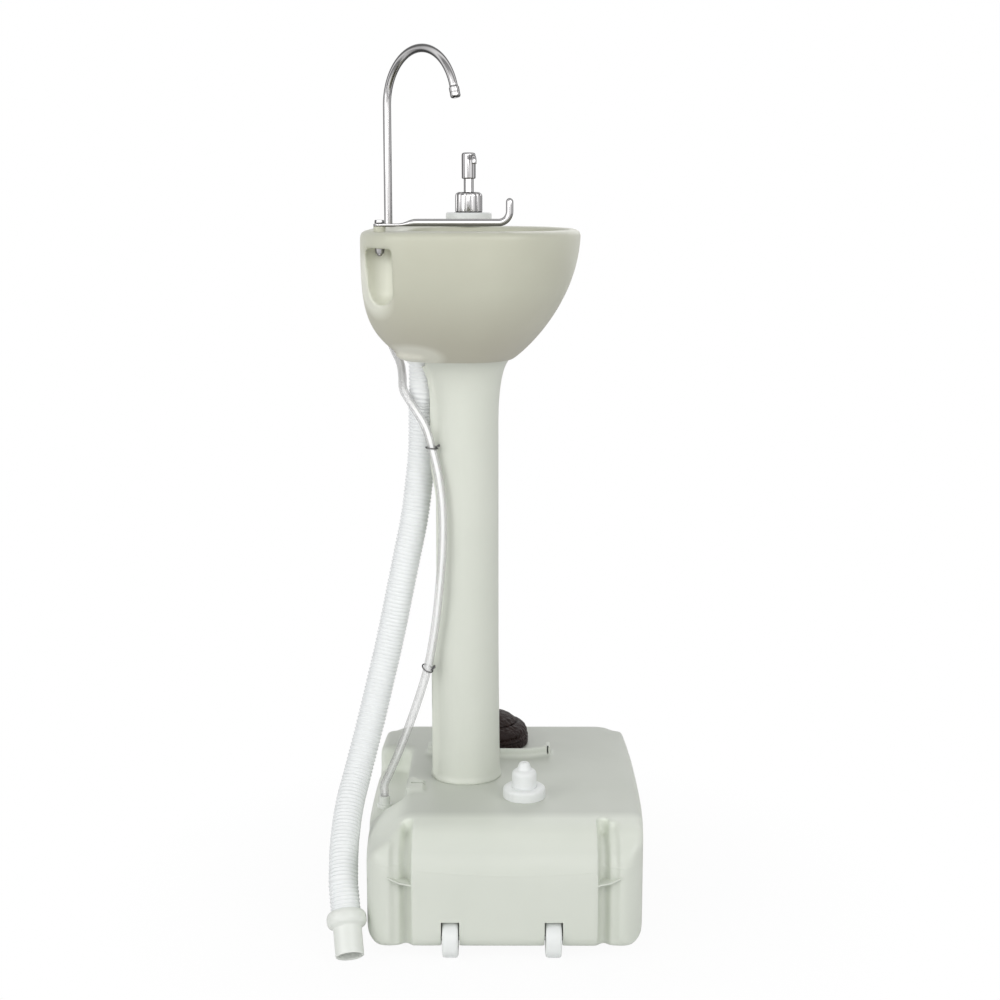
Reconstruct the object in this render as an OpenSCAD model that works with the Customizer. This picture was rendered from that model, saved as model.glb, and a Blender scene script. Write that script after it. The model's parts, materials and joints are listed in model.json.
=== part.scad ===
// Pedestal wash stand for camping: a blow-moulded tank on wheels, a column, and a basin with
// a hand faucet, a soap pump, a towel rail and a foot pump.
// +Z is up, -Y is the user's side, -X is the wheeled end. The origin is on the floor, under the tank.

/* [Tank] */
// Length of the tank along X
tank_len = 416; // [380:2:460]
// Width of the tank along Y at its middle
tank_wid = 326; // [300:2:350]
// Width of the tank along Y at its two ends
tank_end_wid = 306; // [280:2:320]
// Height of the tank's top above the floor
tank_top = 146; // [135:1:170]
// Gap between the tank's bottom and the floor
ground_gap = 13; // [10:1:16]
// Wall of the blow-moulded tank
tank_wall = 5; // [4:0.5:7]
// Radius of the shoulder over each end of the tank
shoulder_r = 50; // [40:1:60]
// Depth of the four upright grooves in the ends
groove_depth = 9; // [6:0.5:10]

/* [Wheels] */
// Diameter of a wheel
wheel_d = 44; // [38:1:48]
// Width of a wheel
wheel_w = 18; // [14:0.5:22]
// Distance between the wheels
wheel_gauge = 116; // [90:1:150]
// Diameter of an axle pin
axle_d = 6; // [5:0.5:8]

/* [Column] */
// Height of the column from the tank to the basin
column_h = 509; // [420:1:600]
// Outer radius of the column at its waist
column_r = 39.5; // [36:0.5:44]
// Outer radius of the column under the basin
column_top_r = 54; // [50:1:56]
// Wall of the column
column_wall = 3.5; // [3:0.5:5]
// Distance of the column's axis behind the middle of the tank
column_y = 47; // [40:1:52]

/* [Basin] */
// Depth of the basin below its rim
basin_h = 151; // [140:1:170]
// Half of the basin's width along X at the rim
basin_half_w = 188; // [180:1:200]
// Reach of the rim to the front
basin_front = 87; // [80:1:95]
// Reach of the rim to the back
basin_back = 165; // [160:1:172]
// Half of the bowl's width along X at the rim
bowl_half_w = 122; // [110:1:124]
// Thickness of the deck over the two corner pockets
deck_t = 17.5; // [12:0.5:20]

/* [Faucet] */
// Outer diameter of the bent steel tube
faucet_d = 10; // [8:0.5:11]
// Height of the straight leg above the deck
faucet_leg = 145; // [100:1:180]
// Radius of the gooseneck
faucet_bend_r = 64; // [50:1:75]
// Heading of the spout, measured from -X towards -Y
faucet_heading = 42; // [20:1:60]

/* [Towel rail] */
// Diameter of the rail
rail_d = 8; // [6:0.5:9]
// Length from the bolt to the upturned end
rail_len = 140; // [110:1:150]
// Height of the upturned end
rail_hook = 26; // [20:1:34]

/* [Soap pump] */
// Diameter of the soap bottle
bottle_d = 38; // [34:1:39]
// Depth of the soap bottle below the deck
bottle_h = 50; // [44:1:54]
// Diameter of the knurled collar
soap_collar_d = 34; // [30:1:36]
// Stroke of the soap pump
soap_stroke = 14; // [8:0.5:15]

/* [Foot pump] */
// Diameter of the rubber bellows
bellows_d = 100; // [90:1:108]
// Stroke of the foot pump
pump_stroke = 12; // [8:0.5:14]
// Height of the bellows when it is pressed down
bellows_folded = 8; // [7:0.5:10]

/* [Filler] */
// Outer diameter of the screw cap
cap_d = 50; // [46:1:54]
// Height of the screw cap
cap_h = 13; // [12:0.5:16]
// Outer diameter of the filler neck
neck_d = 40; // [36:1:41]

/* [Hoses] */
// Outer diameter of the ribbed drain hose
hose_d = 34; // [30:1:35]
// Inner diameter of the ribbed drain hose
hose_bore = 27; // [26:0.5:28]
// Distance from rib to rib of the drain hose
rib_pitch = 4.6; // [4.5:0.1:7]
// Outer diameter of the clear water tube
tube_d = 10; // [8:0.5:11]

/* [Fits] */
// Radial gap of parts that turn or slide in each other
running_gap = 0.1; // [0.05:0.01:0.15]
// Gap between parts that are set into each other
seat_gap = 0.3; // [0.2:0.05:0.5]

/* [Hidden] */
$fn = 64;

body_white = "#d8dbcf";
basin_white = "#cdcdb9";
pure_white = "#f1f2f0";
steel = "#c3c3c4";
clear = "#e8eef0";
dark_rubber = "#33241f";
dark_steel = "#55504d";
eps = 0.01;

end_x = tank_len / 2;
end_y = tank_end_wid / 2;
side_y = tank_wid / 2;

// Places of the pieces in plan
pump_x = end_x - 88;
pump_y = 20;
cap_x = 128 - end_x;
cap_y = -23;
fitting_x = -22;
fitting_y = side_y - 17;
wheel_y = 3;
wheel_x = -end_x + 15;
bolt_x = -136;
bolt_y = 135;
faucet_x = 128;
faucet_y = 143.5;
soap_x = 152;
soap_y = 45;
drain_y = 98;

rim_z = tank_top + column_h + basin_h;
joint_z = tank_top + column_h;
ceiling_z = rim_z - deck_t;

// ---------------------------------------------------------------- helpers

// A rectangle with round corners, standing on its middle
module round_rect(w, d, r) {
    square([w - 2 * r, d], center = true);
    square([w, d - 2 * r], center = true);
    for (sx = [-1, 1], sy = [-1, 1]) translate([sx * (w / 2 - r), sy * (d / 2 - r)]) circle(r);
}

module ring(r_out, r_in, h) {
    difference() {
        cylinder(r = r_out, h = h);
        translate([0, 0, -1]) cylinder(r = r_in, h = h + 2);
    }
}

// A straight round bar between two points
module bar(a, b, r) {
    v = b - a;
    length = norm(v);
    translate(a) rotate([0, acos(v[2] / length), atan2(v[1], v[0])]) cylinder(r = r, h = length);
}

function unit(v) = v / norm(v);
// The part of v that is square to the unit vector t
function across(v, t) = unit(v - t * (v * t));

// Outline of a knob with n upright ribs, which take a share of the way round
function ribbed(r, n, depth, share) = [for (i = [0 : 4 * n - 1])
    let (at = [0, share, share + 0.07, 0.93][i % 4], a = 360 * (floor(i / 4) + at) / n, q = i % 4 < 2 ? r : r - depth)
    [q * cos(a), q * sin(a)]];

// A smooth curve through the points p, with n steps between each two
function curve_at(a, b, c, d, t) =
    0.5 * (2 * b + (c - a) * t + (2 * a - 5 * b + 4 * c - d) * t * t + (3 * b - 3 * c + d - a) * t * t * t);
function smooth(p, n) = [
    for (i = [0 : len(p) - 2], k = [0 : n - 1])
        curve_at(p[max(i - 1, 0)], p[i], p[i + 1], p[min(i + 2, len(p) - 1)], k / n),
    p[len(p) - 1]
];

// Length along a row of points, and the point at a distance along it
function lengths(p, i = 0, so_far = 0) =
    i >= len(p) ? [] : let (s = so_far + (i == 0 ? 0 : norm(p[i] - p[i - 1])))
        concat([s], lengths(p, i + 1, s));
function point_at(p, s, d, i = 1) =
    i >= len(p) - 1 || s[i] >= d
        ? p[i - 1] + (p[i] - p[i - 1]) * (d - s[i - 1]) / (s[i] - s[i - 1])
        : point_at(p, s, d, i + 1);
function evenly(p, n) =
    let (s = lengths(p)) [for (k = [0 : n]) point_at(p, s, s[len(s) - 1] * k / n)];

// One ring of a swept tube, square to the path. The paths never run along Y.
function heading(p, i) = unit(p[min(i + 1, len(p) - 1)] - p[max(i - 1, 0)]);
function tube_ring(p, i, r, sides) =
    let (t = heading(p, i), u = unit(cross(t, [0, 1, 0])), v = cross(t, u))
    [for (k = [0 : sides - 1]) p[i] + r * (u * cos(360 * k / sides) + v * sin(360 * k / sides))];

// Triangles of the wall between ring i and ring i + 1
function wall_faces(first, rings, sides, flip) = [
    for (i = [0 : rings - 2], k = [0 : sides - 1])
        let (a = first + i * sides + k, b = first + i * sides + (k + 1) % sides,
             c = a + sides, d = b + sides)
        each flip ? [[a, b, c], [b, d, c]] : [[a, c, b], [b, c, d]]
];

// A plain round tube without a bore
module solid_tube(p, r, sides) {
    n = len(p);
    points = [for (i = [0 : n - 1]) each tube_ring(p, i, r, sides)];
    ends = concat([for (k = [1 : sides - 2]) [0, k, k + 1]],
                  [for (k = [1 : sides - 2]) [(n - 1) * sides, (n - 1) * sides + k + 1, (n - 1) * sides + k]]);
    polyhedron(points, concat(wall_faces(0, n, sides, false), ends));
}

// A ribbed hose with its bore: rings alternate between crest and valley
module ribbed_tube(p, crest, valley, bore, sides) {
    n = len(p);
    outer = [for (i = [0 : n - 1]) each tube_ring(p, i, i % 2 == 0 ? crest : valley, sides)];
    inner_at = [for (i = [0 : 4 : n - 2]) i, n - 1];
    inner = [for (i = inner_at) each tube_ring(p, i, bore, sides)];
    m = len(inner_at);
    base = n * sides;
    start_cap = [for (k = [0 : sides - 1]) let (j = (k + 1) % sides)
        each [[k, j, base + k], [j, base + j, base + k]]];
    o = (n - 1) * sides;
    q = base + (m - 1) * sides;
    end_cap = [for (k = [0 : sides - 1]) let (j = (k + 1) % sides)
        each [[o + k, q + k, o + j], [o + j, q + k, q + j]]];
    polyhedron(concat(outer, inner), concat(wall_faces(0, n, sides, false),
        wall_faces(base, m, sides, true), start_cap, end_cap));
}

// ---------------------------------------------------------------- tank

shell_bottom_r = 15;
side_edge_r = 16;
under_edge_r = 30;
corner_r = 32;
groove_y = 117;
parting_z = 100;

// Points of an arc, for the outlines below
function arc(x, y, r, from, to, n) =
    [for (i = [0 : n]) let (a = from + (to - from) * i / n) [x + r * cos(a), y + r * sin(a)]];

// Side view of the tank, along Y: high round shoulders at both ends
function end_outline() =
    let (x = end_x, r = shoulder_r, b = shell_bottom_r, low = ground_gap)
    concat(arc(x - r, tank_top - r, r, 0, 90, 14), arc(-x + r, tank_top - r, r, 90, 180, 14),
        arc(-x + b, low + b, b, 180, 270, 5), arc(x - b, low + b, b, 270, 360, 5));
// The same view of the hollow inside, which stays clear of the grooves
function hollow_outline() =
    let (x = end_x - groove_depth - tank_wall, r = shoulder_r - groove_depth - tank_wall, top = tank_top - tank_wall,
         low = ground_gap + tank_wall, arc_x = end_x - shoulder_r, arc_z = tank_top - shoulder_r)
    concat(arc(arc_x, arc_z, r, 0, 90, 8), [[arc_x - 8, top], [-arc_x + 8, top]],
        arc(-arc_x, arc_z, r, 90, 180, 8), [[-x, low + 8], [-x + 8, low], [x - 8, low], [x, low + 8]]);

// Plan of the tank: the long sides bow out by a little
function half_width(x) = side_y - (side_y - end_y) * x * x / (end_x * end_x);
function plan_outline(in_x, in_y) =
    let (c = corner_r - in_y, x = end_x - in_x - c, y = half_width(x) - in_y - c,
         side = [for (i = [-5 : 5]) [x * i / 6, half_width(x * i / 6) - in_y]])
    concat(arc(x, y, c, 0, 90, 8), [for (i = [10 : -1 : 0]) side[i]], arc(-x, y, c, 90, 180, 8),
        arc(-x, -y, c, 180, 270, 8), [for (q = side) [q[0], -q[1]]], arc(x, -y, c, 270, 360, 8));

// End view of the tank, along X
function front_outline(inset) =
    let (r = side_edge_r - inset, b = under_edge_r - inset, low = ground_gap + inset, y = side_y - inset,
         top = tank_top - inset)
    concat(arc(y - r, top - r, r, 0, 90, 6), arc(-y + r, top - r, r, 90, 180, 6),
        arc(-y + b, low + b, b, 180, 270, 8), arc(y - b, low + b, b, 270, 360, 8));

module tank_form() {
    intersection() {
        rotate([90, 0, 0]) linear_extrude(tank_wid + 2, center = true) polygon(end_outline());
        linear_extrude(tank_top + 1) polygon(plan_outline(0, 0));
        rotate([90, 0, 90]) linear_extrude(tank_len + 2, center = true) polygon(front_outline(0));
    }
}
module tank_hollow() {
    intersection() {
        rotate([90, 0, 0]) linear_extrude(tank_wid + 2, center = true) polygon(hollow_outline());
        linear_extrude(tank_top + 1) polygon(plan_outline(groove_depth + tank_wall, tank_wall));
        rotate([90, 0, 90]) linear_extrude(tank_len + 2, center = true) polygon(front_outline(tank_wall));
    }
}

// Section of a groove, as outward and sideways: a steep inner wall and a gentle outer slope
groove_profile = let (d = groove_depth) [[3, -8], [-d, -7.6], [-d - 0.6, -4], [2 - d, 2], [-3, 9], [0.5, 15], [3, 15]];
// An upright groove that runs up the end of the tank and fades out on its shoulder
module groove(x_side, y_side) {
    arc_r = shoulder_r + 13;
    translate([x_side * (end_x - arc_r), y_side * groove_y, tank_top - shoulder_r]) mirror([x_side < 0 ? 1 : 0, 0, 0]) {
        translate([arc_r, 0, -tank_top]) linear_extrude(tank_top)
            polygon([for (q = groove_profile) [q[0], y_side * q[1]]]);
        rotate([90, 0, 0]) rotate_extrude(angle = 80, $fn = 96)
            polygon([for (q = groove_profile) [arc_r + q[0], -y_side * q[1]]]);
    }
}

// A slanting web that the mould leaves across a groove
fin_len = 33;
module groove_fin(x_side, y_side) {
    intersection() {
        tank_form();
        translate([x_side * (end_x - groove_depth / 2), y_side * (groove_y + 6), parting_z])
            rotate([y_side * 40, 0, 0]) cube([groove_depth + 2, fin_len, 2.6], center = true);
    }
}

slot_w = wheel_w + 3;
slot_wall = 8;
axle_grip = 4;
slot_top = wheel_d + 4;
slot_back = wheel_x + wheel_d / 2 + 4;
wheel_centres = [wheel_y - wheel_gauge / 2, wheel_y + wheel_gauge / 2];

module wheel_slots(extra) {
    for (y = wheel_centres)
        translate([-end_x - 10, y - slot_w / 2 - extra, -1])
            cube([slot_back + end_x + 10 + extra, slot_w + 2 * extra, slot_top + 1 + extra]);
}

// The lowered corner at the back, where the clear tube goes in
recess_floor = 112;
recess_x0 = -68;
recess_x1 = 106;
recess_y = side_y - 44;
module recess(extra) {
    r = 14;
    translate([0, 0, recess_floor - extra]) linear_extrude(tank_top) {
        translate([recess_x0 - extra, recess_y + r - extra]) square([recess_x1 - recess_x0 + 2 * extra, side_y]);
        translate([recess_x0 + r - extra, recess_y - extra]) square([recess_x1 - recess_x0 - 2 * r + 2 * extra, side_y]);
        for (x = [recess_x0 + r - extra, recess_x1 - r + extra])
            translate([x, recess_y + r - extra]) circle(r);
    }
}

seat_h = 11;
seat_len = 120;
seat_wid = 132;
seat_y = 14;
well_r = 41;
well_depth = 8;
column_plug_r = 36;
column_plug_h = 26;
neck_h = 8;
neck_bore = neck_d / 2 - 3.5;
foot_x = end_x - 42;
foot_y = 92;
clip_y = recess_y - 12;
clip_wid = 12;

module pump_seat_form() {
    sunk = 12;
    translate([pump_x, seat_y, tank_top - sunk]) linear_extrude(seat_h + sunk) round_rect(seat_len, seat_wid, 22);
}

module tank_shell() {
    color(body_white) difference() {
        union() {
            difference() {
                union() {
                    tank_form();
                    pump_seat_form();
                }
                for (sx = [-1, 1], sy = [-1, 1]) groove(sx, sy);
                recess(0);
            }
            for (sx = [-1, 1], sy = [-1, 1]) groove_fin(sx, sy);
            translate([0, column_y, tank_top - 2]) cylinder(r = column_plug_r, h = column_plug_h + 2);
            translate([cap_x, cap_y, tank_top - 2]) cylinder(r = neck_d / 2, h = neck_h + 2);
            translate([-40, clip_y, tank_top - 2]) cube([20, clip_wid, 8]);
            for (s = [-1, 1]) translate([foot_x, s * foot_y, 0]) linear_extrude(ground_gap + 4) round_rect(36, 46, 10);
        }
        difference() {
            tank_hollow();
            recess(tank_wall);
            wheel_slots(slot_wall);
        }
        wheel_slots(0);
        for (y = wheel_centres) translate([wheel_x, y, wheel_d / 2]) rotate([90, 0, 0])
            cylinder(r = axle_d / 2 + running_gap, h = slot_w + 2 * axle_grip + 2, center = true);
        // seat for the foot pump, with its well
        translate([pump_x, pump_y, tank_top + seat_h - 4]) cylinder(r = bellows_d / 2 + 3 + seat_gap, h = 10);
        translate([pump_x, pump_y, tank_top - 30]) cylinder(r = well_r, h = 60);
        // filler neck
        translate([cap_x, cap_y, tank_top - 30]) cylinder(r = neck_bore, h = 60);
        // hollow of the plug that locates the column
        translate([0, column_y, tank_top - 2]) cylinder(r = column_plug_r - 5, h = column_plug_h + 4);
        // hole for the tube fitting
        translate([fitting_x, fitting_y, recess_floor - 20]) cylinder(r = fitting_r + seat_gap, h = 40);
        // slit in the small clip beside the column
        translate([-36, clip_y - 1, tank_top + 1.5]) cube([12, clip_wid + 2, 2.5]);
    }
}

// ---------------------------------------------------------------- wheels

module wheel(y) {
    r = wheel_d / 2;
    w = wheel_w / 2;
    color(pure_white) translate([wheel_x, y, r]) rotate([90, 0, 0]) rotate_extrude() polygon([
        [axle_d / 2 + running_gap, -w], [8, -w], [9, -w + 2.5], [r - 6, -w + 2.5], [r - 5, -w], [r - 2.5, -w],
        [r, -w + 2.5], [r, w - 2.5], [r - 2.5, w], [r - 5, w], [r - 6, w - 2.5], [9, w - 2.5], [8, w],
        [axle_d / 2 + running_gap, w]]);
}
module wheel_rear() { wheel(wheel_centres[1]); }
module wheel_front() { wheel(wheel_centres[0]); }
module wheel_axles() {
    color(steel) for (y = wheel_centres) translate([wheel_x, y, wheel_d / 2]) rotate([90, 0, 0])
        cylinder(r = axle_d / 2, h = slot_w + 2 * axle_grip, center = true);
}

// ---------------------------------------------------------------- column

lip_r = column_r + 4;
lip_h = 5;
flare_h = 70;
groove_hose_r = hose_d / 2 + 6;
flange_x = 22;
flange_reach = 7;
flange_t = 3;
// Head of a flange, which follows the flare of the column: behind the tie hole, and above the joint
flange_head = [[4, -50], [5, -35], [7.5, -20], [12, -9], [14.5, -5], [4.5, -5], [-0.5, -19], [-3.5, -35], [-flange_reach, -50]];
tie_y = column_y + column_r * 0.83 + 4;
tie_heights = [joint_z - 98, tank_top + 144];

// Outline of the column, from its base to the flare under the basin
function flare_r(t) = column_r + (column_top_r - column_r) * (1 - sqrt(1 - t * t));
function column_outline(inset) = concat(
    [[lip_r - inset, 0], [lip_r - inset, lip_h - 2], [column_r + 2 - inset, lip_h + 2], [column_r + 1.2 - inset, 40],
     [column_r - inset, 170], [column_r - inset, column_h - flare_h]],
    [for (t = [0.3, 0.5, 0.7, 0.85, 0.95, 1]) [flare_r(t) - inset, column_h - flare_h * (1 - t)]]);

module hose_channel(extra) {
    low = joint_z - 315;
    translate([0, drain_y, low]) cylinder(r = groove_hose_r + extra, h = joint_z - low + 2);
    translate([0, drain_y, low]) sphere(groove_hose_r + extra);
}

module column() {
    color(body_white) difference() {
        union() {
            difference() {
                translate([0, column_y, tank_top]) rotate_extrude($fn = 96)
                    polygon(concat([[0, 0]], column_outline(0), [[0, column_h]]));
                difference() {
                    translate([0, column_y, tank_top]) rotate_extrude($fn = 96)
                        polygon(concat([[0, -1], [column_r + 0.5 - column_wall, -1]],
                            [for (q = column_outline(column_wall)) if (q[1] > lip_h) q],
                            [[column_top_r - column_wall, column_h + 1], [0, column_h + 1]]));
                    hose_channel(column_wall);
                }
                hose_channel(0);
            }
            // two upright flanges that take the wire ties
            for (s = [-1, 1]) translate([s * flange_x - flange_t / 2, 0, 0]) rotate([90, 0, 90])
                linear_extrude(flange_t) polygon(concat(
                    [for (q = [[-flange_reach, 6], [4, 6]]) [tie_y + q[0], tank_top + q[1]]],
                    [for (q = flange_head) [tie_y + q[0], joint_z + q[1]]]));
        }
        for (z = tie_heights) translate([-flange_x, tie_y, z])
            rotate([0, 90, 0]) cylinder(r = 1.6, h = 8, center = true);
    }
}

// ---------------------------------------------------------------- basin

basin_mid_y = 25;
basin_low_y = column_y;
skirt_r = column_top_r + 2.5;
skirt_h = 7;
boss_r = 23;
boss_h = 34;
plug_h = 18;
plug_r = column_r + 0.8;
basin_wall = 4;

// Closed outline of one level: a squarish back and a rounder front
function bend(v, n) = sign(v) * pow(abs(v), 2 / n);
function level(z, y, half_w, front, back, sides) = [
    for (k = [0 : sides - 1])
        let (a = 360 * k / sides, n = sin(a) > 0 ? 4 : 2.3)
        [half_w * bend(cos(a), n), y + (sin(a) > 0 ? back : front) * bend(sin(a), n), z]];

// Half width, front and back of the outer skin at a share s of the depth
function skin_half(s) = skirt_r + (basin_half_w - skirt_r) * pow(1 - s * s, 0.75);
function skin_front(s) = -5 - (basin_front - 5) * pow(1 - s * s, 0.875);
function skin_back(s) = 103 + (basin_back - 3 - 103) * (1 - pow(s, 5));
function skin_mid(s) = basin_mid_y + (basin_low_y - basin_mid_y) * s * s;
function skin_level(s, inset, sides) =
    let (y = skin_mid(s))
    level(rim_z - basin_h * s, y, skin_half(s) - inset, y - skin_front(s) - inset, skin_back(s) - y - inset, sides);

// Half width, front and back of the bowl at a share s of its depth
bowl_rise = 19; // of the bowl's floor above the joint with the column
bowl_h = basin_h - bowl_rise;
bowl_front = 70;
bowl_back = 119;
bowl_floor_front = 30;
function bowl_level(s, grow, sides) =
    let (y = 24 + 48 * s * s,
         half_w = 46 + (bowl_half_w - 46) * pow(1 - pow(s, 2.4), 0.6) + grow,
         front = bowl_floor_front - (bowl_front + bowl_floor_front) * pow(1 - pow(s, 2.2), 0.8) - grow,
         back = bowl_back - 3 * s + grow)
    level(rim_z - bowl_h * s, y, half_w, y - front, back - y, sides);

// A closed solid through a stack of levels, top level first
module stack(levels) {
    sides = len(levels[0]);
    n = len(levels);
    caps = concat([for (k = [1 : sides - 2]) [0, k + 1, k]],
                  [for (k = [1 : sides - 2]) [(n - 1) * sides, (n - 1) * sides + k, (n - 1) * sides + k + 1]]);
    polyhedron([for (l = levels) each l], concat(wall_faces(0, n, sides, true), caps));
}

basin_sides = 56;
lip = [[0, 7], [0.004, 4], [0.012, 1.6], [0.028, 0.4]];
module basin_skin() {
    stack(concat([for (q = lip) skin_level(q[0], q[1], basin_sides)],
        [for (s = [0.06, 0.2, 0.36, 0.5, 0.62, 0.72, 0.81, 0.88, 0.94, 0.98]) skin_level(s, 0, basin_sides)]));
}
bowl_lip = [[-0.02, 5.5], [0, 5], [0.012, 2], [0.035, 0.4]];
module bowl_hollow() {
    stack(concat([for (q = bowl_lip) bowl_level(q[0] < 0 ? 0 : q[0], q[1], basin_sides)],
        [for (s = [0.1, 0.3, 0.5, 0.68, 0.82, 0.92, 0.975, 1]) bowl_level(s, 0, basin_sides)]));
}

pocket_r = 15;
pocket_low = rim_z - 64;
strainer_r = 17;
module corner_pocket(x, y, side) {
    translate([x, y, pocket_low]) {
        cylinder(r = pocket_r, h = ceiling_z - pocket_low);
        sphere(pocket_r);
        translate([side > 0 ? 0 : -70, -pocket_r, 0]) cube([70, 2 * pocket_r, ceiling_z - pocket_low]);
        rotate([0, side * 90, 0]) cylinder(r = pocket_r, h = 70);
    }
}

// The air between the two walls of the basin
void_levels = [0.04, 0.2, 0.36, 0.5, 0.62, 0.72, 0.81, 0.88, 0.94, 0.96];
void_sides = 28;
module basin_void() {
    w = basin_wall;
    difference() {
        stack([for (s = void_levels) skin_level(s, w, void_sides)]);
        translate([0, 0, -w]) stack(concat([for (z = [w + 2, 0]) bowl_level(0, w, void_sides) + raised(z, void_sides)],
            [for (s = [0.1, 0.3, 0.5, 0.68, 0.82, 0.92, 1]) bowl_level(s, w, void_sides)]));
        for (q = [[bolt_x, bolt_y, -1], [faucet_x, faucet_y, 1]]) pocket_wall(q[0], q[1], q[2], w);
        translate([soap_x, soap_y, rim_z - bottle_h - 4 - w]) cylinder(r = bottle_d / 2 + seat_gap + w, h = bottle_h + w + 10);
        translate([0, spigot_y, joint_z]) cylinder(r = boss_r, h = boss_h);
    }
}
function raised(z, sides) = [for (k = [1 : sides]) [0, 0, z]];
module pocket_wall(x, y, side, w) {
    r = pocket_r + w;
    translate([x, y, pocket_low]) {
        cylinder(r = r, h = rim_z - pocket_low);
        sphere(r);
        translate([side > 0 ? 0 : -70, -r, 0]) cube([70, 2 * r, rim_z - pocket_low]);
        rotate([0, side * 90, 0]) cylinder(r = r, h = 70);
    }
}

module basin() {
    color(basin_white) difference() {
        union() {
            difference() {
                union() {
                    basin_skin();
                    translate([0, spigot_y, joint_z]) cylinder(r = boss_r, h = boss_h);
                    translate([0, column_y, joint_z]) cylinder(r = skirt_r, h = skirt_h + 4);
                }
                bowl_hollow();
            }
            difference() {
                translate([0, column_y, joint_z - plug_h]) ring(plug_r, plug_r - 4, plug_h + 2);
                translate([0, drain_y, joint_z - plug_h - 1]) cylinder(r = groove_hose_r + column_wall + 1.5, h = plug_h + 1);
            }
        }
        basin_void();
        corner_pocket(bolt_x, bolt_y, -1);
        corner_pocket(faucet_x, faucet_y, 1);
        translate([bolt_x, bolt_y, ceiling_z - 5]) cylinder(r = bolt_r + running_gap, h = deck_t + 10);
        translate([faucet_x, faucet_y, ceiling_z - 5]) cylinder(r = faucet_d / 2 + running_gap, h = deck_t + 10);
        translate([soap_x, soap_y, rim_z - bottle_h - 4]) cylinder(r = bottle_d / 2 + seat_gap, h = bottle_h + 10);
        translate([0, spigot_y, joint_z - 10]) cylinder(r = drain_bore_r, h = bowl_rise + 20);
        translate([0, spigot_y, strainer_z]) cylinder(r = strainer_r + seat_gap, h = 10);
    }
}

// ---------------------------------------------------------------- drain

spigot_bore = 8.5;
drain_bore_r = 11.5;
spigot_y = drain_y - 2;
strainer_z = rim_z - bowl_h - 2.5;
module drain_strainer() {
    color(steel) translate([0, spigot_y, 0]) difference() {
        union() {
            translate([0, 0, strainer_z]) cylinder(r = strainer_r, h = 2.4);
            translate([0, 0, joint_z]) cylinder(r = drain_bore_r - 0.2, h = strainer_z - joint_z + eps);
        }
        translate([0, 0, joint_z - 1]) cylinder(r = spigot_bore + 0.5, h = strainer_z - joint_z + 1.5);
        for (a = [0 : 60 : 300]) rotate(a) translate([5.4, 0, joint_z]) cylinder(r = 1.9, h = basin_h);
        translate([0, 0, joint_z]) cylinder(r = 1.9, h = basin_h);
    }
}
spigot_len = 24;
hose_start_z = joint_z - 4;
module drain_spigot() {
    color(pure_white) translate([0, spigot_y, 0]) difference() {
        union() {
            translate([0, 0, hose_start_z]) cylinder(r = 18.5, h = joint_z - hose_start_z);
            translate([0, 0, hose_start_z - spigot_len]) cylinder(r = hose_bore / 2 * 0.9, h = spigot_len + 1);
        }
        translate([0, 0, hose_start_z - spigot_len - 1]) cylinder(r = spigot_bore, h = spigot_len + 10);
    }
}

// The routes are drawn for a column of this height on a tank of this height
drawn_column = 509;
drawn_tank = 146;
function fitted(route) = let (top = drawn_tank + drawn_column) [for (q = route) [q[0], q[1],
    q[2] < drawn_tank ? q[2] + tank_top - drawn_tank : q[2] > top ? q[2] - top + joint_z
    : tank_top + (q[2] - drawn_tank) * column_h / drawn_column]];

// Route of the drain hose, from the spigot to its end near the floor
hose_out = [-186, 179, 48.5];
hose_dir = unit([-33, -7, -38]);
hose_drawn = [[4, 97, 596], [6, 98, 550], [5, 102, 510], [3, 108, 465],
    [0, 118, 416], [-5, 128, 367], [-10, 138, 319], [-20, 149, 272], [-37, 161, 222], [-62, 174, 172],
    [-92, 182, 140], [-122, 185, 112], [-142, 185, 94]];
hose_tail = [for (k = [1 : -0.5 : 0]) hose_out - hose_dir * hose_d * k];
hose_route = concat([for (d = [0, 17, 34]) [0, spigot_y, hose_start_z - d]], fitted(hose_drawn));
hose_curve = concat(smooth(hose_route, 4), hose_tail);
hose_len = let (s = lengths(hose_curve)) s[len(s) - 1];
rib_count = round(hose_len / rib_pitch);
hose_path = evenly(hose_curve, 2 * rib_count);

module drain_hose() {
    color(clear) ribbed_tube(hose_path, hose_d / 2, hose_d / 2 - 1.6, hose_bore / 2, 8);
}
adapter_collar_r = 22.5;
adapter_stub_r = 16;
adapter_bore = 11;
adapter_len = 50;
module along_hose_end() {
    translate(hose_out) rotate([0, acos(hose_dir[2]), atan2(hose_dir[1], hose_dir[0])]) children();
}
module hose_adapter() {
    r = adapter_collar_r;
    stub = adapter_stub_r;
    neck = hose_bore / 2 * 0.9;
    // a round-shouldered collar over the end of the hose, and an open stub
    color(pure_white) along_hose_end() rotate_extrude() polygon([
        [adapter_bore, -18], [neck, -18], [neck, 0.1], [r - 5, 0.1], [r - 2, 1], [r - 0.4, 4], [r, 8], [r - 0.2, 12],
        [r - 2, 15.4], [stub, 17], [stub, adapter_len], [stub - 2.5, adapter_len], [stub - 2.5, 20], [adapter_bore, 20]]);
}

// ---------------------------------------------------------------- clear water tube

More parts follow.
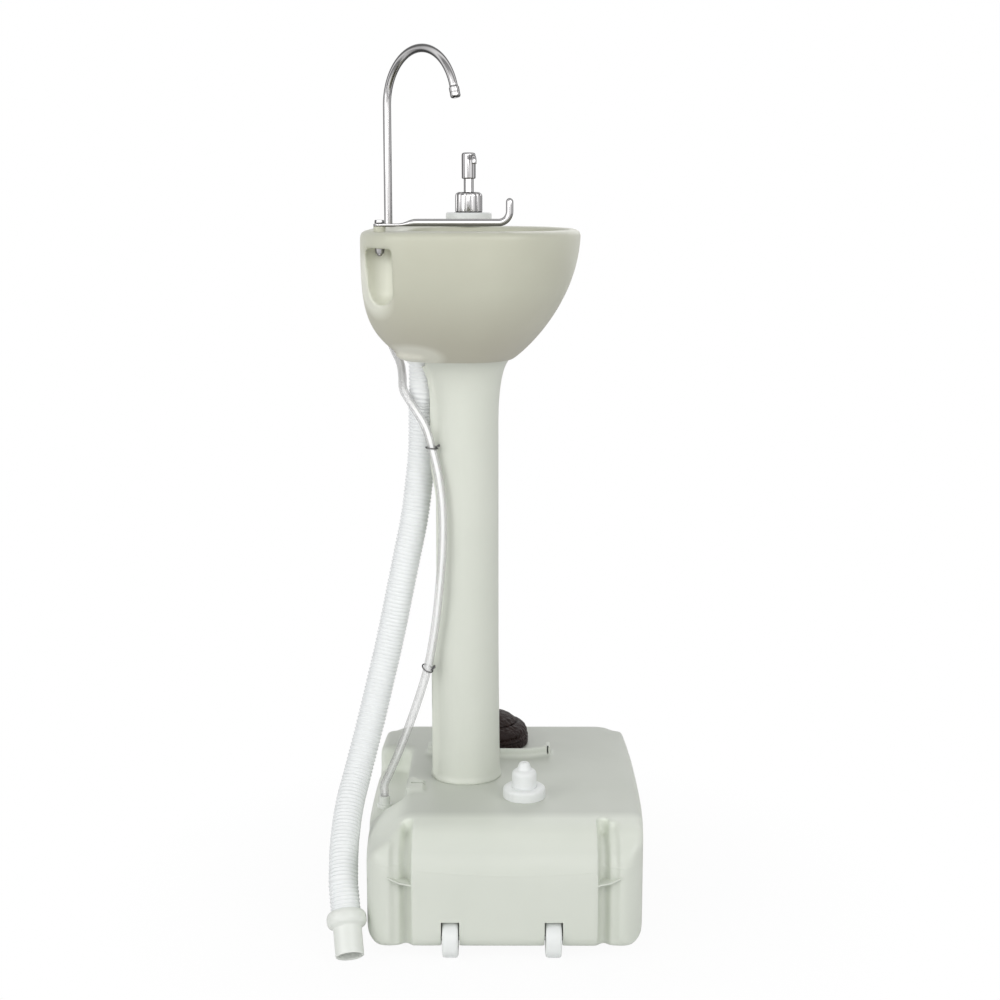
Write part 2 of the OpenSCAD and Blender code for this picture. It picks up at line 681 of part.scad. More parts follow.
tail_low = ceiling_z - 24;
fitting_r = 4;
fitting_top = recess_floor + 14;
tube_drawn = [[129, 146, 741], [130, 149.5, 726], [126, 150, 706], [104, 146, 684], [70, 136, 664], [38, 125, 647],
    [12, 121, 633], [-9, 118.5, 620], [-22, 106.5, 602], [-28, 92, 578], [-32, 84, 550], [-37, 77, 520], [-40, 73, 484],
    [-42, 73, 440], [-41, 76, 400], [-38, 82, 345], [-34, 92, 290], [-30, 107, 240], [-26, 125, 190], [-23, 140, 154]];
tube_route = concat([for (d = [0.2, 5, 11]) [faucet_x, faucet_y, tail_low - d]], fitted(tube_drawn),
    [for (d = [14, 7, 0.2]) [fitting_x, fitting_y, fitting_top + d]]);
tube_path = evenly(smooth(tube_route, 4), 58);
module water_tube() { color(clear) solid_tube(tube_path, tube_d / 2, 10); }
tube_len = let (s = lengths(smooth(tube_route, 4))) s[len(s) - 1];

module tube_fitting() {
    color(steel) translate([fitting_x, fitting_y, 0]) difference() {
        union() {
            translate([0, 0, recess_floor]) cylinder(r = 9, h = 4);
            translate([0, 0, recess_floor + 4]) cylinder(r = 6.5, h = fitting_top - recess_floor - 4);
            translate([0, 0, recess_floor - 14]) cylinder(r = fitting_r, h = 16);
        }
        translate([0, 0, recess_floor - 20]) cylinder(r = 2, h = 60);
    }
}

// The tube inside the tank, from the foot pump to the fitting
delivery_z = 88;
outlet_x = pump_x - 20;
outlet_y = pump_y + 16;
module delivery_tube() {
    a = [outlet_x, outlet_y, well_z - well_depth];
    b = [outlet_x, outlet_y, delivery_z];
    d = [fitting_x, fitting_y, recess_floor - 14];
    c2 = [fitting_x, fitting_y, delivery_z];
    color(clear) {
        bar(a, b, 4);
        translate(b) sphere(4.8);
        bar(b, c2, 4);
        translate(c2) sphere(4.8);
        bar(c2, d, 4);
    }
}

// A twisted wire: a loop round the clear tube, a link through the flange, and two loose tails
module wire_tie(z) {
    at = [for (k = [1 : len(tube_path) - 1]) if (tube_path[k - 1][2] > z && tube_path[k][2] <= z) k][0];
    p = tube_path[at];
    t = heading(tube_path, at);
    wire_r = 0.8;
    ring_r = tube_d / 2 + wire_r + seat_gap;
    hole = [-flange_x, tie_y, z];
    near = hole - [2.8, 0, 0];
    far = hole + [3, 0, 0];
    // the bars start inside the loop's wire, clear of the tube
    start_r = ring_r + 0.6;
    knot = p + across([-1, -1, 0], t) * start_r;
    color(dark_steel) {
        translate(p) rotate([0, acos(t[2]), atan2(t[1], t[0])])
            rotate_extrude() translate([ring_r, 0]) circle(wire_r, $fn = 16);
        bar(p + across(near - p, t) * start_r, near, wire_r);
        translate(near) sphere(wire_r + 0.3);
        bar(near, far, wire_r);
        translate(far) sphere(2 * wire_r);
        bar(knot, p + [-7, -9, 5], 1.5 * wire_r);
        bar(knot, p + [-8, -4, -6], 1.25 * wire_r);
    }
}
module wire_tie_upper() { wire_tie(tie_heights[0]); }
module wire_tie_lower() { wire_tie(tie_heights[1]); }

// ---------------------------------------------------------------- faucet

faucet_r = faucet_d / 2;
tube_bore = 3.6;
bend_end = 165;
barb_len = 13.5;
leg_top = rim_z + faucet_leg;
module in_spout_plane() {
    translate([faucet_x, faucet_y, 0]) rotate(180 + faucet_heading) children();
}
// The sweep of a round section along the leg and the gooseneck
module gooseneck(r, low) {
    translate([0, 0, low]) cylinder(r = r, h = leg_top - low);
    translate([0, 0, leg_top]) sphere(r + 0.05);
    translate([faucet_bend_r, 0, leg_top]) rotate([90, 0, 0]) rotate(180 - bend_end)
        rotate_extrude(angle = bend_end, $fn = 96) translate([faucet_bend_r, 0]) circle(r, $fn = 48);
}
module spout_end() {
    translate([faucet_bend_r, 0, leg_top]) rotate([0, bend_end - 90, 0]) translate([0, 0, faucet_bend_r])
        rotate([0, 90, 0]) children();
}
module faucet_tube() {
    color(steel) in_spout_plane() difference() {
        gooseneck(faucet_r, tail_low + barb_len);
        gooseneck(tube_bore, tail_low);
    }
}
module faucet_nozzle() {
    color(steel) in_spout_plane() spout_end() difference() {
        union() {
            cylinder(r = faucet_r + 1.1, h = 9);
            translate([0, 0, 9]) cylinder(r1 = faucet_r + 1.1, r2 = faucet_r - 0.2, h = 3);
        }
        translate([0, 0, -1]) cylinder(r = tube_bore, h = 20);
    }
}
module faucet_washer() {
    color(dark_rubber) translate([faucet_x, faucet_y, rim_z]) ring(9, faucet_r + running_gap, 2);
}
module faucet_nut() {
    color(steel) translate([faucet_x, faucet_y, ceiling_z - 7]) difference() {
        cylinder(r = 9, h = 7, $fn = 6);
        translate([0, 0, -1]) cylinder(r = faucet_r + running_gap, h = 9);
    }
}
module faucet_barb() {
    color(steel) translate([faucet_x, faucet_y, tail_low]) difference() {
        cylinder(r = faucet_r + 0.5, h = barb_len);
        translate([0, 0, -1]) cylinder(r = 2.5, h = barb_len + 2);
    }
}

// ---------------------------------------------------------------- towel rail

rail_r = rail_d / 2;
plate_t = 3;
plate_z = rim_z + 5.5;
rail_z = plate_z + rail_r;
hook_bend = 12;
plate_len = 28;
rod_start = 24;
bolt_r = 3;
module towel_rail() {
    color(steel) translate([bolt_x, bolt_y, 0]) difference() {
        union() {
            translate([0, 0, plate_z]) cylinder(r = 8, h = plate_t);
            translate([-5.5, -plate_len, plate_z]) cube([11, plate_len, plate_t]);
            translate([0, -rail_len + hook_bend, rail_z]) rotate([-90, 0, 0]) cylinder(r = rail_r, h = rail_len - hook_bend - rod_start);
            translate([0, -rod_start, rail_z]) sphere(rail_r);
            translate([0, -rail_len + hook_bend, rail_z + hook_bend]) rotate([0, -90, 0]) rotate(180) rotate_extrude(angle = 90, $fn = 64)
                translate([hook_bend, 0]) circle(rail_r, $fn = 32);
            translate([0, -rail_len, rail_z + hook_bend]) cylinder(r = rail_r, h = rail_hook - hook_bend - rail_r);
            translate([0, -rail_len, rail_z + rail_hook - rail_r]) sphere(rail_r);
        }
        translate([0, 0, plate_z - 1]) cylinder(r = bolt_r + running_gap, h = 20);
    }
}
module towel_bolt() {
    color(steel) translate([bolt_x, bolt_y, 0]) {
        translate([0, 0, plate_z + plate_t + 0.2]) cylinder(r = 5.5, h = 3.6, $fn = 6);
        translate([0, 0, ceiling_z - 9]) cylinder(r = bolt_r, h = plate_z + plate_t + 0.3 - ceiling_z + 9);
    }
}
module towel_washer() {
    color(basin_white) translate([bolt_x, bolt_y, rim_z]) ring(6.5, bolt_r + running_gap, plate_z - rim_z - 0.1);
}
module towel_nut() {
    color(steel) translate([bolt_x, bolt_y, ceiling_z - 6]) difference() {
        cylinder(r = 5.8, h = 6, $fn = 6);
        translate([0, 0, -1]) cylinder(r = bolt_r, h = 8);
    }
}

// ---------------------------------------------------------------- soap pump

flange_h = 17;
collar_h = 25;
collar_z = rim_z + flange_h;
stem_r = 6.2;
stem_out = soap_stroke + 2;
stem_top = collar_z + collar_h + stem_out;
barrel_r = 9.5;
barrel_low = rim_z - 14;
soap_flange_r = 28.5;
head_h = 32;
spout_turn = 12;
spout_r = 4.4;
spout_reach = 38;
module at_soap(z) { translate([soap_x, soap_y, z]) children(); }
module soap_bottle() {
    color(clear) at_soap(rim_z - bottle_h) difference() {
        cylinder(r = bottle_d / 2, h = bottle_h);
        translate([0, 0, 2]) cylinder(r = bottle_d / 2 - 2, h = bottle_h - 5);
        translate([0, 0, 2]) cylinder(r = 11, h = bottle_h);
    }
}
module soap_flange() {
    color(pure_white) at_soap(rim_z) difference() {
        union() {
            cylinder(r = soap_flange_r, h = flange_h - 2.5);
            translate([0, 0, flange_h - 2.5]) cylinder(r1 = soap_flange_r, r2 = soap_flange_r - 2.5, h = 2.5);
        }
        translate([0, 0, -1]) cylinder(r = barrel_r + 0.2, h = 20);
    }
}
module soap_collar() {
    r = soap_collar_d / 2;
    color(steel) at_soap(collar_z) difference() {
        union() {
            linear_extrude(collar_h - 3) polygon(ribbed(r, 14, 1.1, 0.74));
            translate([0, 0, collar_h - 3]) cylinder(r1 = r - 1.2, r2 = r - 4, h = 3);
        }
        translate([0, 0, -1]) cylinder(r = stem_r + running_gap, h = 40);
        translate([0, 0, -1]) cylinder(r = 11, h = collar_shoulder + 1);
    }
}
collar_shoulder = collar_h - 9;
piston_r = barrel_r - 1.3;
piston_h = 4;
stem_low = collar_z + collar_shoulder - piston_h - 0.2;
module soap_stem() {
    color(steel) at_soap(0) difference() {
        union() {
            translate([0, 0, stem_low]) cylinder(r = stem_r, h = stem_top - stem_low);
            translate([0, 0, stem_low]) cylinder(r = piston_r, h = piston_h);
            translate([0, 0, stem_top - eps]) cylinder(r = 3.5, h = 8);
        }
        translate([0, 0, stem_low - 1]) cylinder(r = 1.8, h = 80);
    }
}
module soap_head() {
    r = 8.6;
    color(steel) at_soap(stem_top) difference() {
        union() {
            cylinder(r = r, h = head_h - 2);
            translate([0, 0, head_h - 2]) cylinder(r1 = r, r2 = r - 1.5, h = 2);
            // the spout runs to the bowl and turns down at its end
            rotate(spout_turn) translate([0, 0, head_h - 6]) rotate([0, -90, 0]) cylinder(r = spout_r, h = spout_reach);
            rotate(spout_turn) translate([-spout_reach, 0, head_h - 6]) sphere(spout_r);
            rotate(spout_turn) translate([-spout_reach, 0, head_h - 14]) cylinder(r = spout_r, h = 8);
        }
        translate([0, 0, -1]) cylinder(r = 3.5 + running_gap, h = 10);
        rotate(spout_turn) translate([-spout_reach, 0, head_h - 15]) cylinder(r = spout_r - 2, h = 9);
    }
}
module soap_barrel() {
    color(pure_white) at_soap(barrel_low) difference() {
        union() {
            cylinder(r = barrel_r, h = collar_z + collar_shoulder - 0.5 - barrel_low);
            translate([0, 0, collar_z - barrel_low]) cylinder(r = barrel_r + 1.3, h = 1.5);
        }
        translate([0, 0, 2]) cylinder(r = piston_r + running_gap, h = collar_z);
        translate([0, 0, -1]) cylinder(r = 1.4, h = 5);
    }
}
module soap_spring() {
    color(steel) at_soap(barrel_low + 2.2) ring(4.6, 3.6, stem_low - barrel_low - 2.4);
}
module soap_dip_tube() {
    color(clear) at_soap(rim_z - bottle_h + 6) ring(2.4, 1.4, barrel_low - rim_z + bottle_h - 6);
}

// ---------------------------------------------------------------- foot pump

well_z = tank_top + seat_h - 4;
bellows_r = bellows_d / 2;
base_flange_t = 3;
bellows_z = well_z + base_flange_t;
bellows_h = bellows_folded + pump_stroke;
crown_z = bellows_z + bellows_h;
crown_r = bellows_r - 14;
crown_h = 14;
module at_pump(z) { translate([pump_x, pump_y, z]) children(); }
module pump_base() {
    color("#4a4643") at_pump(0) difference() {
        union() {
            translate([0, 0, well_z]) cylinder(r = bellows_r + 3, h = base_flange_t);
            translate([0, 0, well_z - well_depth]) cylinder(r = well_r - seat_gap, h = well_depth + 1);
        }
        translate([0, 0, well_z - well_depth + 3]) cylinder(r = well_r - 4, h = well_depth + 10);
        translate([0, 0, well_z - well_depth - 1]) cylinder(r = 3, h = 10);
        translate([outlet_x - pump_x, outlet_y - pump_y, well_z - well_depth - 1]) cylinder(r = 3, h = 10);
    }
}
module pump_bellows() {
    r = bellows_r;
    top = bellows_h - 0.4;
    color(dark_rubber) at_pump(bellows_z + 0.2) rotate_extrude($fn = 96) polygon([
        [r - 8, 0], [r, 0], [r, top * 0.1], [r - 4, top * 0.22], [r, top * 0.34], [r - 0.5, top * 0.44],
        [r - 4, top * 0.62], [r - 8, top * 0.8], [crown_r, top], [crown_r - 5, top], [r - 12, top * 0.74],
        [r - 7.5, top * 0.56], [r - 4, top * 0.38], [r - 7.5, top * 0.22], [r - 4.5, top * 0.1]]);
}
module pump_crown() {
    color(dark_rubber) at_pump(crown_z) difference() {
        rotate_extrude($fn = 96) polygon([[0, 0], [crown_r, 0], [crown_r - 1, 2.5], [crown_r - 6, 5.5],
            [crown_r - 12, 8.5], [crown_r - 20, 11.5], [crown_r - 28, crown_h - 0.6], [0, crown_h]]);
        translate([0, 0, -1]) cylinder(r = crown_r - 14, h = 8);
    }
}
module pump_spring() {
    r = 17;
    h = crown_z + 7 - (well_z - well_depth + 3) - 0.4;
    color(steel) at_pump(well_z - well_depth + 3.2) ring(r, r - 2.2, h);
}
module valve(x, y) {
    color(pure_white) translate([x, y, well_z - well_depth + 3.1]) {
        cylinder(r = 6, h = 1.6);
        cylinder(r = 2, h = 4);
    }
}
module inlet_valve() { valve(pump_x, pump_y); }
module outlet_valve() { valve(outlet_x, outlet_y); }
suction_low = 32;
module suction_tube() {
    color(clear) at_pump(suction_low) ring(5, 3, well_z - well_depth - suction_low);
}
module suction_strainer() {
    color(pure_white) at_pump(suction_low - 12) difference() {
        cylinder(r = 9, h = 12);
        translate([0, 0, 2]) cylinder(r = 7, h = 8);
        translate([0, 0, 6]) cylinder(r = 3, h = 8);
        for (a = [0 : 45 : 315]) rotate(a) translate([5, -1, 3]) cube([6, 2, 6]);
    }
}

// ---------------------------------------------------------------- filler cap

module at_cap(z) { translate([cap_x, cap_y, z]) children(); }
gasket_t = 1.5;
insert_t = 2.5;
stub_r = 14.5;
stub_h = 22;
cap_z = tank_top + 1;
insert_z = tank_top + neck_h + gasket_t;
module cap_ring() {
    r = cap_d / 2;
    color(pure_white) at_cap(cap_z) difference() {
        union() {
            linear_extrude(cap_h - 2.5) polygon(ribbed(r, 24, 0.5, 0.6));
            translate([0, 0, cap_h - 2.5]) cylinder(r1 = r - 1.2, r2 = r - 3.5, h = 2.5);
        }
        translate([0, 0, -1]) cylinder(r = neck_d / 2 + running_gap, h = insert_z + insert_t - cap_z + 1);
        translate([0, 0, -1]) cylinder(r = stub_r + running_gap, h = 60);
    }
}
module cap_insert() {
    color(pure_white) at_cap(insert_z) difference() {
        union() {
            cylinder(r = neck_d / 2 - 0.3, h = insert_t - 0.1);
            cylinder(r = stub_r, h = insert_t + stub_h - 5);
            translate([0, 0, insert_t + stub_h - 5]) cylinder(r1 = stub_r, r2 = stub_r - 3.5, h = 5);
            translate([0, 0, insert_t + stub_h - 1]) cylinder(r1 = 9.5, r2 = 6.5, h = 11);
        }
        translate([0, 0, -1]) cylinder(r = stub_r - 3, h = stub_h - 2);
        translate([0, 0, -1]) cylinder(r = 1.2, h = 60);
    }
}
module cap_gasket() {
    color(dark_rubber) at_cap(tank_top + neck_h) ring(neck_d / 2 - 0.3, neck_bore, gasket_t);
}

echo(hose_length_mm = hose_len, water_tube_length_mm = tube_len, ribs = rib_count);

tank_shell();
wheel_rear();
wheel_front();
wheel_axles();
column();
basin();
drain_strainer();
drain_spigot();
drain_hose();
hose_adapter();
water_tube();
tube_fitting();
delivery_tube();
wire_tie_upper();
wire_tie_lower();
faucet_tube();
faucet_nozzle();
faucet_washer();
faucet_nut();
faucet_barb();
towel_rail();
towel_bolt();
towel_washer();
towel_nut();
soap_bottle();
soap_flange();
soap_collar();
soap_stem();
soap_head();
soap_barrel();
soap_spring();
soap_dip_tube();
pump_base();
pump_bellows();
pump_crown();
pump_spring();
inlet_valve();
outlet_valve();
suction_tube();
suction_strainer();
cap_ring();
cap_insert();
cap_gasket();
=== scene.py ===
# %% [markdown]
# This lesson dresses a camping wash stand: a moulded water tank on two wheels, a column, and a
# basin with a faucet, a soap pump and a towel rail. The exact solids come in first and stay where
# they are, in metres, with Z up. Their box is kept, because no new piece may outgrow it.

# %% Load the exact model
import json, math
import bpy, bmesh
from mathutils import Matrix, Vector, noise


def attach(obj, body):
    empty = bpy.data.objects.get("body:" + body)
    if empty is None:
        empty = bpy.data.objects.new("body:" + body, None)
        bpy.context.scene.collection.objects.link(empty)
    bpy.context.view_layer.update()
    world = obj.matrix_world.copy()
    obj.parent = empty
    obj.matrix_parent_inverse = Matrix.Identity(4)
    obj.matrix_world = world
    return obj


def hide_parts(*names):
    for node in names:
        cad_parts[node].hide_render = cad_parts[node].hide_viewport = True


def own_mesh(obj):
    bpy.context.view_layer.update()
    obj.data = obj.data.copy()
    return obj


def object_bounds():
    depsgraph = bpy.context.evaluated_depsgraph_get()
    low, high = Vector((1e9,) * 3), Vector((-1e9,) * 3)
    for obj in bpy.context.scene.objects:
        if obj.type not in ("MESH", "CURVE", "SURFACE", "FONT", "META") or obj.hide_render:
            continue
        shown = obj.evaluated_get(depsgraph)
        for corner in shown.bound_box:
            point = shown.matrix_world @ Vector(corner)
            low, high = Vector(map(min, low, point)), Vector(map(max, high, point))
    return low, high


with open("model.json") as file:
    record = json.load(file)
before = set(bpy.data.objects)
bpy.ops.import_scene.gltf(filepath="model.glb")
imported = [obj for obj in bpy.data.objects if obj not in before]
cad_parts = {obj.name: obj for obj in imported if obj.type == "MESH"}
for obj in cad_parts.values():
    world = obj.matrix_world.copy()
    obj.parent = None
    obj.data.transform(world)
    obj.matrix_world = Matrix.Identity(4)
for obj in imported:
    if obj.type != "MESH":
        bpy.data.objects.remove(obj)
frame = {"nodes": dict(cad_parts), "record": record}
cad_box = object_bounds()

nodes = frame["nodes"]
low_corner, high_corner = ([round(v, 3) for v in corner] for corner in cad_box)
print(len(nodes), "solids in a box from", low_corner, "to", high_corner)

# %% [markdown]
# The camera stands two metres from the wheeled end and looks a little down. A lens of 60 mm on a
# 36 mm sensor gives the long, calm perspective of a product picture.

# %% Camera
camera_data = bpy.data.cameras.new("camera")
camera_data.lens = 60.0
camera_data.sensor_width = 36
camera = bpy.data.objects.new("camera", camera_data)
camera.location = (-1.950, 0, 0.847)
camera.rotation_euler = (math.radians(90 - 10.445), 0, math.radians(-90 + 0.17))
bpy.context.scene.collection.objects.link(camera)
bpy.context.scene.camera = camera
bpy.context.scene.view_settings.view_transform = "Standard"

# %% [markdown]
# Two hoses hang behind the column. Their routes are short rows of points in millimetres, taken
# over from the solids. A smooth curve goes through the points, and even steps along it make the
# rings of a tube.

# %% Routes of the two hoses
hose_route = [
    (0, 96, 651), (0, 96, 634), (0, 96, 617), (4, 97, 596), (6, 98, 550), (5, 102, 510), (3, 108, 465),
    (0, 118, 416), (-5, 128, 367), (-10, 138, 319), (-20, 149, 272), (-37, 161, 222), (-62, 174, 172),
    (-92, 182, 140), (-122, 185, 112), (-142, 185, 94)]
hose_out = Vector((-186, 179, 48.5))
hose_dir = Vector((-33, -7, -38)).normalized()
tube_route = [
    (128, 143.5, 764.3), (128, 143.5, 759.5), (128, 143.5, 753.5), (129, 146, 741), (130, 149.5, 726),
    (126, 150, 706), (104, 146, 684), (70, 136, 664), (38, 125, 647), (12, 121, 633), (-9, 118.5, 620),
    (-22, 106.5, 602), (-28, 92, 578), (-32, 84, 550), (-37, 77, 520), (-40, 73, 484), (-42, 73, 440),
    (-41, 76, 400), (-38, 82, 345), (-34, 92, 290), (-30, 107, 240), (-26, 125, 190), (-23, 140, 154),
    (-22, 146, 140), (-22, 146, 133), (-22, 146, 126.2)]

def smooth_curve(points, steps=8):
    p = [Vector(q) for q in points]
    out = []
    for i in range(len(p) - 1):
        a, b, c, d = p[max(i - 1, 0)], p[i], p[i + 1], p[min(i + 2, len(p) - 1)]
        for k in range(steps):
            t = k / steps
            square = 2 * a - 5 * b + 4 * c - d
            cube = 3 * b - 3 * c + d - a
            out.append(0.5 * (2 * b + (c - a) * t + square * t * t + cube * t ** 3))
    return out + [p[-1]]

def evenly(points, count):
    at = [0]
    for a, b in zip(points, points[1:]):
        at.append(at[-1] + (b - a).length)
    out, i = [], 0
    for k in range(count + 1):
        goal = at[-1] * k / count
        while i < len(at) - 2 and at[i + 1] < goal:
            i += 1
        out.append(points[i].lerp(points[i + 1], (goal - at[i]) / (at[i + 1] - at[i])))
    return out, at[-1]

hose_line = smooth_curve(hose_route) + [hose_out - hose_dir * 34 * k for k in (1, 0.5, 0)]
hose_ribs = 147
hose_points, hose_length = evenly(hose_line, 6 * hose_ribs)
tube_points, tube_length = evenly(smooth_curve(tube_route), 150)
print("drain hose", round(hose_length), "mm, water tube", round(tube_length), "mm")

# %% [markdown]
# A tube is one circle that is extruded along its route. Each new ring is moved, turned and sized
# from the last one, and the turning is carried along so that the tube never twists.

# %% A sweep along a route
def ring_frames(points, radii, side=None):
    frames = []
    for i, p in enumerate(points):
        t = (points[min(i + 1, len(points) - 1)] - points[max(i - 1, 0)]).normalized()
        side = Vector(side or t.orthogonal())
        side = (side - t * side.dot(t)).normalized()
        up = t.cross(side)
        turn = Matrix((side, up, t)).transposed().to_4x4()
        wide, high = radii[i] if isinstance(radii[i], tuple) else (radii[i], radii[i])
        frames.append(Matrix.Translation(p) @ turn @ Matrix.Diagonal((wide, high, 1, 1)))
    return frames

def sweep(bm, points, radii, sides, side=None):
    frames = ring_frames(points, radii, side)
    ring = bmesh.ops.create_circle(bm, segments=sides, radius=1)["verts"]
    bmesh.ops.transform(bm, matrix=frames[0], verts=ring)
    edges = list({e for v in ring for e in v.link_edges})
    first = list(edges)
    for last, here in zip(frames, frames[1:]):
        new = bmesh.ops.extrude_edge_only(bm, edges=edges)["geom"]
        edges = [g for g in new if isinstance(g, bmesh.types.BMEdge) and g.is_boundary]
        ring = list({v for e in edges for v in e.verts})
        bmesh.ops.transform(bm, matrix=here @ last.inverted(), verts=ring)
    return first, edges

def loft(bm, rings):
    loops = []
    for ring in rings:
        verts = [bm.verts.new(p) for p in ring]
        loops.append([bm.edges.new((a, b)) for a, b in zip(verts, verts[1:] + verts[:1])])
    for a, b in zip(loops, loops[1:]):
        bmesh.ops.bridge_loops(bm, edges=a + b)
    for loop in (loops[0], loops[-1]):
        bmesh.ops.contextual_create(bm, geom=loop)
    return bm

def block(bm, outline, low, high, place):
    """A straight block over a flat outline. place puts outline and height into space."""
    return loft(bm, [[place(a, b, c) for a, b in outline] for c in (low, high)])

def arc(x, y, radius, start, end, count):
    """Points of an arc, with angles in degrees."""
    angles = [math.radians(start + (end - start) * k / count) for k in range(count + 1)]
    return [(x + radius * math.cos(a), y + radius * math.sin(a)) for a in angles]

def as_piece(name, bm, scale=0.001, smooth=True):
    bmesh.ops.recalc_face_normals(bm, faces=bm.faces)
    if scale != 1:
        bmesh.ops.scale(bm, vec=(scale, scale, scale), verts=bm.verts)
    mesh = bpy.data.meshes.new(name)
    bm.to_mesh(mesh)
    bm.free()
    if smooth:
        mesh.shade_smooth()
    piece = bpy.data.objects.new(name, mesh)
    bpy.context.scene.collection.objects.link(piece)
    return piece

# %% [markdown]
# Many pieces here are turned about an axis. A short profile is laid out from the middle to the
# rim, and Blender's spin carries it round once.

# %% Turning
def turned(bm, profile, steps=96, cent=(0, 0, 0), axis=(0, 0, 1), across=(1, 0, 0)):
    cent, axis, across = Vector(cent), Vector(axis), Vector(across)
    verts = [bm.verts.new(cent + across * r + axis * z) for r, z in profile]
    edges = [bm.edges.new(pair) for pair in zip(verts, verts[1:])]
    bmesh.ops.spin(bm, geom=verts + edges, cent=cent, axis=axis, dvec=(0, 0, 0),
                   angle=2 * math.pi, steps=steps, use_merge=True)
    bmesh.ops.remove_doubles(bm, verts=bm.verts, dist=0.001)
    return bm

def settle(piece, *wanted):
    """Adds each modifier with its settings, and applies them all to the mesh."""
    for kind, settings in wanted:
        modifier = piece.modifiers.new(kind.title(), kind)
        for key, value in settings.items():
            setattr(modifier, key, value)
    shape = bpy.data.meshes.new_from_object(piece.evaluated_get(bpy.context.evaluated_depsgraph_get()))
    piece.modifiers.clear()
    piece.data = shape
    shape.name = piece.name
    shape.shade_smooth()
    return piece

def loose(name, bm):
    """A tool shape for a cut, in metres, that doesn't stay in the scene."""
    tool = as_piece(name, bm)
    tool.hide_render = True
    return tool

def largest_island(piece):
    bm = bmesh.new()
    bm.from_mesh(piece.data)
    left, islands = set(bm.verts), []
    while left:
        grow, island = [left.pop()], set()
        while grow:
            v = grow.pop()
            island.add(v)
            for e in v.link_edges:
                w = e.other_vert(v)
                if w in left:
                    left.discard(w)
                    grow.append(w)
        islands.append(island)
    islands.sort(key=lambda i: max(v.co.x for v in i) - min(v.co.x for v in i))
    for island in islands[:-1]:
        bmesh.ops.delete(bm, geom=list(island), context="VERTS")
    bm.to_mesh(piece.data)
    bm.free()
    return len(islands)

# %% [markdown]
# The small parts keep the places and sizes of the solids, and gain what a lathe, a press and
# a mould leave on them: eased corners, flutes, a rolled plate and a domed nut. Each new piece
# moves with the body of the solid whose place it takes.

# %% Dressing of small parts
body_at = {n: body for body, members in frame["record"]["behaviour"]["bodies"].items() for n in members}
slot_at = {entry["node"]: entry["material_slot"] for entry in frame["record"]["subparts"]}
dressed = []

def dress(piece, node):
    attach(piece, body_at[node])
    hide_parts(node)
    dressed.append((piece, slot_at[node]))
    return piece

def eased(profile, radius, steps=3):
    """Rounds the corners of a profile."""
    out = [profile[0]]
    for a, b, c in zip(profile, profile[1:], profile[2:]):
        a, b, c = Vector(a), Vector(b), Vector(c)
        cut = min(radius, (a - b).length * 0.45, (c - b).length * 0.45)
        p, q = b + (a - b).normalized() * cut, b + (c - b).normalized() * cut
        out += [tuple(p.lerp(b, k / steps).lerp(b.lerp(q, k / steps), k / steps)) for k in range(steps + 1)]
    return out + [profile[-1]]

def lathe(node, profile, cent, radius=0.6, steps=96, axis=(0, 0, 1), across=(1, 0, 0)):
    bm = turned(bmesh.new(), eased(profile, radius), steps, cent, axis, across)
    return dress(as_piece(node + "_turned", bm), node)

def flute(bm, cent, count, depth, width, inner):
    """Presses narrow upright flutes into the outside of a turned shape."""
    for v in bm.verts:
        x, y = v.co.x - cent[0], v.co.y - cent[1]
        reach = math.hypot(x, y)
        if reach > inner:
            off = abs((math.atan2(y, x) * count / (2 * math.pi)) % 1 - 0.5)
            sink = depth * math.exp(-(off / width) ** 2)
            v.co.x -= x / reach * sink
            v.co.y -= y / reach * sink
    return bm

# %% Hose adapter
knob = [(11, -18), (12.1, -18), (12.3, -1), (17.2, -0.8), (20.2, 0.6), (22.2, 4), (22.5, 8), (22.3, 12),
        (20.6, 15.4), (17.4, 17), (16.1, 18.4), (16, 49.4), (15.2, 50), (14, 49.6), (13.5, 48.6), (13.5, 20),
        (11, 20), (11, -18)]
adapter = lathe("hose_adapter", knob, hose_out, 1.0, 96, hose_dir, hose_dir.orthogonal().normalized())

# %% Drain hose and water tube
bm = bmesh.new()
rib = [16.95, 16.6, 15.9, 15.4, 15.9, 16.6]
outer_radii = [rib[i % 6] for i in range(len(hose_points))]
start, end = sweep(bm, hose_points, outer_radii, 32)
inner_start, inner_end = sweep(bm, hose_points[::6], [13.5] * (hose_ribs + 1), 32)
bmesh.ops.bridge_loops(bm, edges=start + inner_start)
bmesh.ops.bridge_loops(bm, edges=end + inner_end)
drain_hose = as_piece("drain_hose_ribbed", bm)

bm = bmesh.new()
start, end = sweep(bm, tube_points, [5] * len(tube_points), 20)
inner_start, inner_end = sweep(bm, tube_points, [3.4] * len(tube_points), 20)
bmesh.ops.bridge_loops(bm, edges=start + inner_start)
bmesh.ops.bridge_loops(bm, edges=end + inner_end)
water_tube = as_piece("water_tube_clear", bm)
for piece, node in ((drain_hose, "drain_hose"), (water_tube, "water_tube")):
    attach(piece, "root")
    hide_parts(node)
    print(piece.name, len(piece.data.polygons), "faces")
hose_length / 1000
[p / 1000 for p in hose_points[::6]]
tube_length / 1000
[p / 1000 for p in tube_points]

# %% [markdown]
# The tank is blow moulded: hot plastic is blown against a mould, so no edge on it is sharp. The
# exact tank is copied, its ways in are plugged, and a voxel remesh with a little smoothing gives
# every edge the soft radius of the real skin.

# %% Tank
def copy_of(node, name):
    bm = bmesh.new()
    bm.from_mesh(nodes[node].data)
    bmesh.ops.remove_doubles(bm, verts=bm.verts, dist=1e-6)
    bmesh.ops.scale(bm, vec=(1000, 1000, 1000), verts=bm.verts)
    return bm

def plug(bm, x, y, low, high, radius):
    made = bmesh.ops.create_cone(bm, cap_ends=True, segments=48, radius1=radius, radius2=radius,
                                 depth=high - low)
    bmesh.ops.translate(bm, vec=(x, y, (low + high) / 2), verts=made["verts"])

